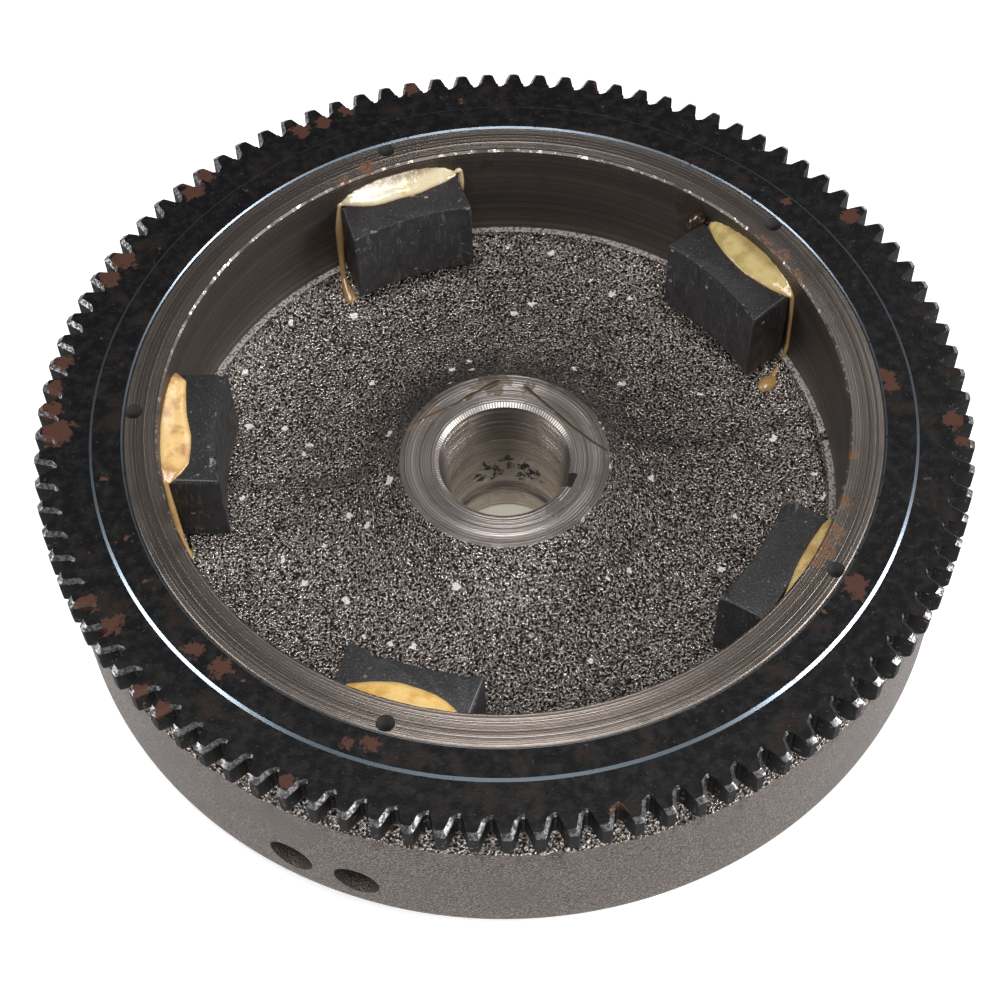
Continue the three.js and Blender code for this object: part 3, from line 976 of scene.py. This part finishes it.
RUST_RED = (0.070, 0.028, 0.018)
SCALE_BLACK = (0.006, 0.006, 0.007)
WORN_STEEL = (0.30, 0.30, 0.31)
gear_skin, tree, shader = new_finish("scaled_gear_steel", SCALE_BLACK, 0.40, 0.2)
shader.inputs["Specular IOR Level"].default_value = 0.32
skin = place_group(tree, cast_grain, Grain=0.0008)
blue = patches(tree, 0.0032, 0.40, 0.70)
overlay(tree, shader, blue, (0.014, 0.014, 0.015), 0.50)
brown = patches(tree, 0.010, 0.52, 0.70)
overlay(tree, shader, brown, (0.020, 0.014, 0.011), 0.5)
pale = patches(tree, 0.0011, 0.62, 0.74)
overlay(tree, shader, pale, (0.060, 0.056, 0.052), 0.4)
rusty = patches(tree, 0.006, 0.68, 0.72)
overlay(tree, shader, times(tree, rusty, 0.75), RUST_BROWN, 0.75, 0)
raise_surface(tree, shader, skin["Height"], 0.00004)

worn_skin, tree, shader = new_finish("worn_gear_steel", WORN_STEEL, 0.36, 0.9)
nicks = patches(tree, 0.0009, 0.44, 0.56)
overlay(tree, shader, nicks, (0.075, 0.072, 0.070), 0.5)

flank_skin, tree, shader = new_finish("oily_tooth_flank", (0.007, 0.006, 0.006), 0.6, 0)
shader.inputs["Specular IOR Level"].default_value = 0.06
overlay(tree, shader, patches(tree, 0.0016, 0.60, 0.70), (0.09, 0.085, 0.08), 0.4)

step_skin, tree, shader = new_finish("turned_gear_step", (0.34, 0.41, 0.48), 0.30, 0.95)
bare = patches(tree, 0.0030, 0.60, 0.72)
overlay(tree, shader, bare, (0.05, 0.05, 0.05), 0.5)

# Flat brown rust on the ring gear: distance out, angle and size of each patch.
GEAR_RUST = [
    (0.1217, 152.3, 0.0037),
    (0.1228, 156.0, 0.0036),
    (0.1242, 170.6, 0.0031),
    (0.1246, 174.8, 0.0027),
    (0.1242, 178.4, 0.0031),
    (0.1220, 181.8, 0.0050),
    (0.1221, 32.4, 0.0030),
    (0.1059, 3.5, 0.0028),
    (0.1070, 1.5, 0.0022),
    (0.1227, 356.0, 0.0031),
    (0.1250, 353.0, 0.0025),
    (0.1205, 115.6, 0.0028),
    (0.1212, 119.0, 0.0033),
    (0.1226, 111.5, 0.0027),
    (0.1246, 101.7, 0.0027),
    (0.1255, 74.5, 0.0030),
    (0.1220, 137.2, 0.0037),
    (0.1240, 134.0, 0.0030),
    (0.1080, 325.9, 0.0038),
    (0.1092, 222.4, 0.0028),
    (0.1078, 227.3, 0.0034),
    (0.1213, 212.6, 0.0036),
    (0.1240, 208.5, 0.0030),
    (0.1270, 222.6, 0.0027),
    (0.1255, 226.0, 0.0027),
    (0.1241, 243.3, 0.0025),
    (0.1082, 251.0, 0.0025),
    (0.1095, 248.0, 0.0019),
    (0.1237, 281.6, 0.0022),
    (0.1105, 40.0, 0.0018),
]
for finish in (gear_skin, worn_skin, flank_skin):
    tree, shader = open_finish(finish)
    for radius, degrees, size in GEAR_RUST:
        spot = stain_at(tree, polar(radius, degrees, GEAR_STEP_Z), size, 2.8)
        overlay(tree, shader, spot, RUST_RED, 0.75, 0.1)
ring_gear.data.materials.clear()
finish_faces(ring_gear, gear_skin, lambda r, z, n: True)
# The tooth finishes reach a little way in from the roots of the teeth.
TOOTHED_R = ROOT_R - 0.0006
finish_faces(ring_gear, flank_skin, lambda r, z, n: r > TOOTHED_R and abs(n.z) < 0.3)


def on_tooth_chamfer(r, z, n):
    return r > TOOTHED_R and z > GEAR_STEP_Z - 0.0013 and 0.3 < n.z < 0.92


def on_gear_step(r, z, n):
    return 0.1120 < r < 0.1140 and z > GEAR_STEP_Z and n.z < 0.97


finish_faces(ring_gear, worn_skin, on_tooth_chamfer)
finish_faces(ring_gear, step_skin, on_gear_step)
finish_faces(ring_gear, step_skin, lambda r, z, n: r < 0.1046 and z > RIM_FACE_Z - 0.00045)
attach(ring_gear, "root")
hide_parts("ring_gear")

# Five ceramic magnets stand on the turned ledge inside the rim. Each is a pressed and ground ferrite
# block with a flat back and a hollow pole face; the brittle edges have lost chips.
MAGNET_WIDTH = 0.0368
MAGNET_BACK_X = 0.0916
MAGNET_FACE_R = 0.0798
MAGNET_BOTTOM_Z = 0.0398
MAGNET_TOP_Z = 0.0661
# Chips on each magnet: across, along and up from the middle of the pole face's top edge, and size.
CHIPS = [
    [(0.0005, -0.0140, 0.0, 0.0012), (0.0, 0.0060, 0.0, 0.0007), (0.0, 0.0179, -0.0100, 0.0010)],
    [(0.0002, -0.0165, 0.0003, 0.0014), (0.0, 0.0030, 0.0, 0.0006), (0.0, 0.0118, 0.0, 0.0010)],
    [(-0.0006, 0.0130, 0.0, 0.0018), (0.0, -0.0040, 0.0, 0.0008), (-0.0015, -0.0180, 0.0, 0.0013)],
    [(0.0, -0.0100, 0.0, 0.0016), (0.0, 0.0020, 0.0002, 0.0009), (-0.0003, 0.0135, 0.0, 0.0013)],
    [(-0.0012, 0.0160, 0.0002, 0.0034), (0.0, 0.0080, 0.0, 0.0012), (-0.0010, -0.0175, 0.0, 0.0014)],
]


def chip_cutter(place, size, seed):
    """A jagged stone that takes a chip out of an edge."""
    deselect()
    bpy.ops.mesh.primitive_ico_sphere_add(subdivisions=2, radius=size, location=place)
    stone = bpy.context.object
    stone.scale = (1.0, 1.5, 0.8)
    enter_edit()
    bpy.ops.mesh.select_all(action="SELECT")
    bpy.ops.transform.vertex_random(offset=size * 0.35, seed=seed)
    leave_edit()
    return stone


# Which end of each magnet has its top edge ground off: 1 is the end further round, 0 is neither.
GROUND_ENDS = [-1, 1, 1, 1, 0]


def grind_end(magnet, end):
    if end == 0:
        return

    def at_end(p):
        return p.z > MAGNET_TOP_Z - NEAR and end * p.y > MAGNET_WIDTH / 2 - NEAR

    select_vertices(magnet, at_end)
    for edge in magnet.data.edges:
        edge.select = all(magnet.data.vertices[v].select for v in edge.vertices)
    make_active(magnet)
    enter_edit()
    bpy.ops.mesh.select_mode(type="EDGE")
    bpy.ops.mesh.bevel(offset=0.0011, segments=1)
    leave_edit()


def grind_magnet(number, degrees, chips):
    deselect()
    depth = MAGNET_BACK_X - 0.0700
    height = MAGNET_TOP_Z - MAGNET_BOTTOM_Z
    bpy.ops.mesh.primitive_cube_add(size=1, location=(0, 0, 0))
    magnet = bpy.context.object
    magnet.name = f"ferrite_magnet_{number}"
    magnet.data.name = magnet.name
    magnet.scale = (depth, MAGNET_WIDTH, height)
    magnet.location = (MAGNET_BACK_X - depth / 2, 0, (MAGNET_TOP_Z + MAGNET_BOTTOM_Z) / 2)
    bpy.ops.object.transform_apply(location=True, rotation=False, scale=True)
    deselect()
    bpy.ops.mesh.primitive_cylinder_add(
        vertices=360, radius=MAGNET_FACE_R, depth=0.2, location=(0, 0, MAGNET_TOP_Z)
    )
    cut(magnet, [bpy.context.object])
    grind_end(magnet, GROUND_ENDS[number - 1])
    bevel_edges(magnet, 0.00045)
    stones = []
    for i, (across, along, up, size) in enumerate(chips):
        face_x = math.sqrt(MAGNET_FACE_R**2 - along**2)
        stones.append(chip_cutter((face_x - across, along, MAGNET_TOP_Z + up), size, 10 * number + i))
    cut(magnet, stones)
    make_active(magnet)
    magnet.rotation_euler = (0, 0, math.radians(degrees))
    bpy.ops.object.transform_apply(location=False, rotation=True, scale=False)
    smooth(magnet, 25)
    return magnet


magnets = [grind_magnet(i + 1, degrees, CHIPS[i]) for i, degrees in enumerate(MAGNET_ANGLES)]

FERRITE_GREY = (0.030, 0.029, 0.031)
ferrite_skin, tree, shader = new_finish("ground_ferrite", FERRITE_GREY, 0.5, 0.1)
skin = place_group(tree, cast_grain, Grain=0.0006)
overlay(tree, shader, patches(tree, 0.005, 0.4, 0.7), (0.019, 0.018, 0.019), 0.58)
overlay(tree, shader, patches(tree, 0.0016, 0.64, 0.72), (0.20, 0.19, 0.18), 0.5)
stretched = {"Vector": object_place(tree), "Scale": (1.0, 1.0, 0.12)}
grain = noise(tree, put(tree, "ShaderNodeMapping", stretched).outputs[0], 1500, 2, 0.6)
overlay(tree, shader, fade(tree, grain, 0.56, 0.68), (0.075, 0.070, 0.068), 0.45)
dirt = place_group(tree, specks, Spacing=0.0048, Size=0.0007)["Mask"]
overlay(tree, shader, dirt, (0.30, 0.25, 0.20), 0.8, 0)
raise_surface(tree, shader, skin["Height"], 0.00010)

ground_edge, tree, shader = new_finish("ground_ferrite_edge", (0.13, 0.13, 0.14), 0.5, 0.1)
for i, magnet in enumerate(magnets):
    magnet.data.materials.clear()
    magnet.data.materials.append(ferrite_skin)
    finish_faces(magnet, ground_edge, lambda r, z, n: 0.6 < n.z < 0.8 and z > MAGNET_TOP_Z - 0.0013)
    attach(magnet, "root")
    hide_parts(f"magnet_{i + 1}")

# Each magnet is bonded with poured epoxy that fills behind it, stands up against the rim in a glossy
# lens over the magnet's back edge, and has run down the corners before it set.
LENS_STATIONS = 13
LENS_WALL_R = 0.09475
RESIN_SEAT_Z = MAGNET_TOP_Z - 0.0006
# The lens in section: share of the way from the rim to the inner edge, and share of its height there.
LENS_SECTION = [(0, 1.0), (0.22, 0.80), (0.50, 0.55), (0.80, 0.36), (1.0, 0.10)]


def between(stations, along):
    """The value at a place along a list of (place, value) pairs."""
    for (a, low), (b, high) in zip(stations, stations[1:]):
        if a <= along <= b:
            return low + (high - low) * (along - a) / (b - a)
    return stations[0][1] if along < stations[0][0] else stations[-1][1]


def lens_rows(edge, rise):
    """Rows of points along the magnet, from under the resin at the rim, over its top, to its inner edge.
    edge gives (place along the magnet, distance from the crank axis) of the inner edge."""
    start, end = edge[0][0], edge[-1][0]
    rows = [[] for _ in range(7)]
    for i in range(LENS_STATIONS):
        along = start + (end - start) * i / (LENS_STATIONS - 1)
        wall = math.sqrt(LENS_WALL_R**2 - along**2)
        inner = min(between(edge, along), wall - 0.0006)
        swell = math.sqrt(max(0.0, 1 - ((2 * along - start - end) / (end - start)) ** 2))
        top = MAGNET_TOP_Z + 0.0003 + rise * swell
        for k, (share, height) in enumerate(LENS_SECTION):
            z = MAGNET_TOP_Z + (top - MAGNET_TOP_Z) * height
            rows[k + 1].append((wall + (inner - wall) * share, along, z))
        rows[0].append((wall + 0.0004, along, RESIN_SEAT_Z))
        rows[6].append((inner + 0.0003, along, RESIN_SEAT_Z))
    return rows


def pour_lens(edge, rise):
    lens = empty_mesh("lens")
    rows = lens_rows(edge, rise)
    for row in rows:
        lay_wire(row)
    leave_edit()
    bridge_rows(lens, rows)
    enter_edit()
    bpy.ops.mesh.select_mode(type="EDGE")
    bpy.ops.mesh.select_all(action="DESELECT")
    bpy.ops.mesh.select_non_manifold()
    bpy.ops.mesh.fill()
    bpy.ops.mesh.select_all(action="SELECT")
    bpy.ops.mesh.normals_make_consistent(inside=False)
    leave_edit()
    return lens


def pour_run(path):
    """A run of resin along (x, y, z, half thickness) points."""
    flow = empty_mesh("run")
    lay_wire([point[:3] for point in path])
    leave_edit()
    make_active(flow)
    skin = flow.modifiers.new("skin", "SKIN")
    for vertex, point in zip(flow.data.skin_vertices[0].data, path):
        vertex.radius = (point[3], point[3])
    rounded = flow.modifiers.new("rounded", "SUBSURF")
    rounded.levels = 2
    rounded.render_levels = 2
    bpy.ops.object.modifier_apply(modifier=skin.name)
    bpy.ops.object.modifier_apply(modifier=rounded.name)
    return flow


def pour_bead(place, half_sizes):
    deselect()
    bpy.ops.mesh.primitive_ico_sphere_add(subdivisions=3, radius=1, location=place)
    bead = bpy.context.object
    bead.scale = half_sizes
    bpy.ops.object.transform_apply(location=True, rotation=False, scale=True)
    return bead


def set_together(name, pours, voxel, passes):
    """Runs separate pours of resin into one closed skin."""
    resin = join(pours)
    resin.name = name
    resin.data.name = name
    remesh = resin.modifiers.new("one_skin", "REMESH")
    remesh.mode = "VOXEL"
    remesh.voxel_size = voxel
    relax = resin.modifiers.new("relax", "SMOOTH")
    relax.factor = 0.5
    relax.iterations = passes
    bpy.ops.object.modifier_apply(modifier=remesh.name)
    bpy.ops.object.modifier_apply(modifier=relax.name)
    return resin


# Inner edge of each lens as (along the magnet, from the crank axis), and how far it climbs the rim.
LENS_EDGES = [
    [
        (-0.0192, 0.0915), (-0.0142, 0.0892), (-0.0093, 0.0883), (-0.0044, 0.0873), (0.0004, 0.0874),
        (0.0061, 0.0881), (0.0119, 0.0896), (0.0175, 0.0922),
    ],
    [
        (-0.0186, 0.0914), (-0.0147, 0.0898), (-0.0089, 0.0890), (-0.0050, 0.0881), (0.0003, 0.0885),
        (0.0055, 0.0882), (0.0101, 0.0887), (0.0142, 0.0904), (0.0182, 0.0928),
    ],
    [
        (-0.0192, 0.0922), (-0.0173, 0.0892), (-0.0141, 0.0891), (-0.0045, 0.0882), (0.0039, 0.0861),
        (0.0121, 0.0861), (0.0168, 0.0888), (0.0186, 0.0908),
    ],
    [
        (-0.0175, 0.0915), (-0.0151, 0.0896), (-0.0087, 0.0871), (-0.0025, 0.0855), (0.0045, 0.0858),
        (0.0099, 0.0866), (0.0141, 0.0889), (0.0170, 0.0915),
    ],
    [
        (-0.0140, 0.0925), (-0.0065, 0.0917), (-0.0004, 0.0907), (0.0050, 0.0903), (0.0098, 0.0902),
        (0.0160, 0.0905), (0.0185, 0.0912),
    ],
]
LENS_RISES = [0.0042, 0.0044, 0.0034, 0.0030, 0.0026]
# Where the resin ran: down a corner beside the magnet and out on the casting.
RUNS = [
    [
        [
            (0.0925, -0.0186, 0.0662, 0.0008), (0.0932, -0.0192, 0.0560, 0.0007),
            (0.0928, -0.0196, 0.0450, 0.0009), (0.0905, -0.0200, 0.0372, 0.0012),
            (0.0868, -0.0208, 0.0338, 0.0013),
        ],
    ],
    [
        [
            (0.0930, 0.0182, 0.0668, 0.0007), (0.0930, 0.0190, 0.0560, 0.0009),
            (0.0922, 0.0196, 0.0450, 0.0012), (0.0895, 0.0204, 0.0375, 0.0018),
            (0.0850, 0.0206, 0.0342, 0.0019), (0.0822, 0.0200, 0.0332, 0.0012),
        ],
        [
            (0.0918, -0.0184, 0.0672, 0.0008), (0.0926, -0.0200, 0.0670, 0.0013),
            (0.0930, -0.0202, 0.0610, 0.0014), (0.0934, -0.0198, 0.0550, 0.0009),
        ],
    ],
    [
        [
            (0.0928, 0.0178, 0.0668, 0.0012), (0.0926, 0.0190, 0.0610, 0.0015),
            (0.0922, 0.0200, 0.0520, 0.0016), (0.0915, 0.0214, 0.0430, 0.0014),
            (0.0900, 0.0240, 0.0378, 0.0015), (0.0886, 0.0272, 0.0362, 0.0013),
            (0.0874, 0.0302, 0.0356, 0.0009),
        ],
    ],
    [
        [
            (0.0922, 0.0176, 0.0666, 0.0009), (0.0930, 0.0190, 0.0580, 0.0009),
            (0.0930, 0.0192, 0.0480, 0.0008),
        ],
    ],
    [
        [
            (0.0922, 0.0180, 0.0664, 0.0008), (0.0930, 0.0190, 0.0560, 0.0008),
            (0.0926, 0.0194, 0.0440, 0.0009),
        ],
    ],
]
BEADS = [
    [
        ((0.0842, -0.0214, 0.0336), (0.0036, 0.0024, 0.0019)),
        ((0.0905, 0.0200, 0.0664), (0.0036, 0.0024, 0.0034)),
    ],
    [((0.0838, 0.0204, 0.0334), (0.0022, 0.0020, 0.0016))],
    [((0.0900, 0.0236, 0.0372), (0.0016, 0.0022, 0.0016))],
    [],
    [],
]


def bond(number):
    pours = [pour_lens(LENS_EDGES[number], LENS_RISES[number])]
    pours += [pour_run(path) for path in RUNS[number]]
    pours += [pour_bead(place, half_sizes) for place, half_sizes in BEADS[number]]
    resin = set_together(f"resin_bond_{number + 1}", pours, 0.00035, 5)
    resin.rotation_euler = (0, 0, math.radians(MAGNET_ANGLES[number]))
    make_active(resin)
    bpy.ops.object.transform_apply(location=False, rotation=True, scale=False)
    smooth(resin, 80)
    return resin


RESIN_AMBER = (0.62, 0.33, 0.075)
RESIN_BROWN = (0.17, 0.085, 0.030)


def resin_finish(name, body, cloud, amber_low, amber_high):
    """Cured epoxy: cream where it is thick and full of air, amber where it is thin."""
    finish, tree, shader = new_finish(name, body, 0.16, 0)
    shader.inputs["Subsurface Weight"].default_value = 0.25
    shader.inputs["Subsurface Radius"].default_value = (1.0, 0.6, 0.25)
    shader.inputs["Subsurface Scale"].default_value = 0.0012
    shader.inputs["Coat Weight"].default_value = 0.6
    shader.inputs["Coat Roughness"].default_value = 0.06
    overlay(tree, shader, patches(tree, 0.0060, 0.42, 0.66), cloud)
    overlay(tree, shader, patches(tree, 0.0040, 0.56, 0.80), RESIN_AMBER)
    height = put(tree, "ShaderNodeSeparateXYZ", {0: object_place(tree)}).outputs[2]
    thin = fade(tree, height, MAGNET_TOP_Z + 0.0013, MAGNET_TOP_Z + 0.0002)
    overlay(tree, shader, times(tree, thin, 0.55), (0.42, 0.24, 0.075))
    low = fade(tree, height, MAGNET_TOP_Z - 0.0005, MAGNET_TOP_Z - 0.012)
    overlay(tree, shader, times(tree, low, amber_low), (0.33, 0.19, 0.065))
    rim_side = fade(tree, height, MAGNET_TOP_Z + 0.0024, MAGNET_TOP_Z + 0.0040)
    overlay(tree, shader, times(tree, rim_side, amber_high), RESIN_BROWN)
    overlay(tree, shader, patches(tree, 0.0011, 0.70, 0.76), RESIN_BROWN)
    wrinkles = noise(tree, object_place(tree), 420, 3, 0.6)
    raise_surface(tree, shader, wrinkles, 0.00025)
    return finish


RESIN_BODIES = [
    resin_finish("pale_yellow_resin", (0.62, 0.49, 0.22), (0.42, 0.32, 0.12), 0.75, 0.5),
    resin_finish("cream_resin", (0.66, 0.57, 0.38), (0.70, 0.66, 0.55), 0.95, 0.7),
    resin_finish("orange_tan_resin", (0.80, 0.55, 0.24), (0.50, 0.27, 0.11), 0.2, 0.3),
    resin_finish("yellow_resin", (0.85, 0.60, 0.24), (0.72, 0.40, 0.10), 0.3, 0.3),
    resin_finish("thin_resin", (0.66, 0.52, 0.24), (0.45, 0.28, 0.10), 0.4, 0.3),
]
# The lump behind the first magnet's far corner is brown right through.
LUMP_R = 0.0932
LUMP_ANGLE = MAGNET_ANGLES[0] + 12.6
LUMP_SIZE = 0.0048
tree, shader = open_finish(RESIN_BODIES[0])
for height in (0.0640, 0.0670):
    lump = stain_at(tree, polar(LUMP_R, LUMP_ANGLE, height), LUMP_SIZE, 0.3125)
    overlay(tree, shader, lump, (0.030, 0.019, 0.011), 0.25)
for i in range(len(MAGNET_ANGLES)):
    resin = bond(i)
    resin.data.materials.clear()
    resin.data.materials.append(RESIN_BODIES[i])
    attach(resin, "root")
    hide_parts(f"magnet_bond_{i + 1}")

# Thin strings of spilt resin set across the hub face, and one bead of resin on the flare beside the hub.
HUB_STRINGS = [
    [
        (-0.0286, 0.0106, 0.00035), (-0.0263, 0.0130, 0.00050), (-0.0199, 0.0167, 0.00045),
        (-0.0130, 0.0200, 0.00040), (-0.0097, 0.0221, 0.00110), (-0.0068, 0.0241, 0.00060),
        (-0.0030, 0.0262, 0.00110), (-0.0004, 0.0276, 0.00090),
    ],
    [
        (0.0063, 0.0255, 0.00085), (0.0108, 0.0206, 0.00060), (0.0150, 0.0158, 0.00065),
        (0.0191, 0.0111, 0.00055), (0.0246, 0.0056, 0.00055), (0.0296, 0.0014, 0.00045),
    ],
]
strings = []
for path in HUB_STRINGS:
    strings.append(pour_run([(x, y, HUB_FACE_Z - 0.0003, half) for x, y, half in path]))
strings.append(pour_bead((-0.0322, -0.0169, 0.0413), (0.0009, 0.0013, 0.0010)))
string_finish, tree, shader = new_finish("string_resin", (0.052, 0.034, 0.019), 0.28, 0)
overlay(tree, shader, patches(tree, 0.0030, 0.60, 0.70), (0.36, 0.23, 0.10))
hub_strings = set_together("hub_resin_strings", strings, 0.00018, 3)
smooth(hub_strings, 80)
hub_strings.data.materials.clear()
hub_strings.data.materials.append(string_finish)
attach(hub_strings, "root")

# Camera, floor and soft studio light.
CAMERA_PLACE = Vector((-0.00071, -0.33562, 0.53212))
CAMERA_AIM = Vector((-0.00154, -0.03091, RIM_FACE_Z))
CAMERA_ROLL = math.radians(-1.785)
camera = bpy.data.objects.new("camera", bpy.data.cameras.new("camera"))
bpy.context.scene.collection.objects.link(camera)
camera.data.lens = 74.56
camera.data.sensor_width = 36
camera.data.clip_start = 0.01
look = (CAMERA_AIM - CAMERA_PLACE).to_track_quat("-Z", "Y").to_matrix().to_4x4()
turn = Matrix.Rotation(CAMERA_ROLL, 4, "Z")
camera.matrix_world = Matrix.Translation(CAMERA_PLACE) @ look @ turn
bpy.context.scene.camera = camera

deselect()
bpy.ops.mesh.primitive_plane_add(size=6, location=(0, 0, 0))
floor = bpy.context.object
floor.name = "floor"
floor_finish, tree, shader = new_finish("pale_floor", (0.93, 0.93, 0.93), 0.7, 0)
away = put(tree, "ShaderNodeVectorMath", {0: object_place(tree)}, operation="LENGTH").outputs["Value"]
# The floor glows only beyond the part's rim, and the glow fades out towards the middle: a painted shadow
# under the part.
tree.links.new(fade(tree, away, 0.080, 0.135), shader.inputs["Emission Color"])
shader.inputs["Emission Strength"].default_value = 0.55
# Painted shadow: the floor under the bore is coloured a darker yellowish grey.
overlay(tree, shader, fade(tree, away, 0.060, 0.030), (0.50, 0.48, 0.40))
floor.data.materials.append(floor_finish)


def softbox(name, place, size, power):
    light = bpy.data.lights.new(name, "AREA")
    light.shape = "RECTANGLE"
    light.size, light.size_y = size
    light.energy = power
    lamp = bpy.data.objects.new(name, light)
    bpy.context.scene.collection.objects.link(lamp)
    lamp.location = place
    lamp.rotation_euler = (Vector((0, 0, 0.04)) - Vector(place)).to_track_quat("-Z", "Y").to_euler()


softbox("overhead", (0, -0.42, 1.22), (0.7, 0.7), 13.5)
softbox("left_side", (-1.25, -0.25, 0.55), (0.7, 0.5), 7)
softbox("right_side", (1.25, -0.25, 0.55), (0.7, 0.5), 15)
softbox("back_right", (0.9, 1.0, 1.1), (0.5, 0.5), 2)
world = bpy.data.worlds.new("studio")
world.use_nodes = True
world.node_tree.nodes["Background"].inputs["Color"].default_value = (1, 1, 1, 1)
world.node_tree.nodes["Background"].inputs["Strength"].default_value = 0.07
bpy.context.scene.world = world
bpy.context.scene.view_settings.view_transform = "Standard"
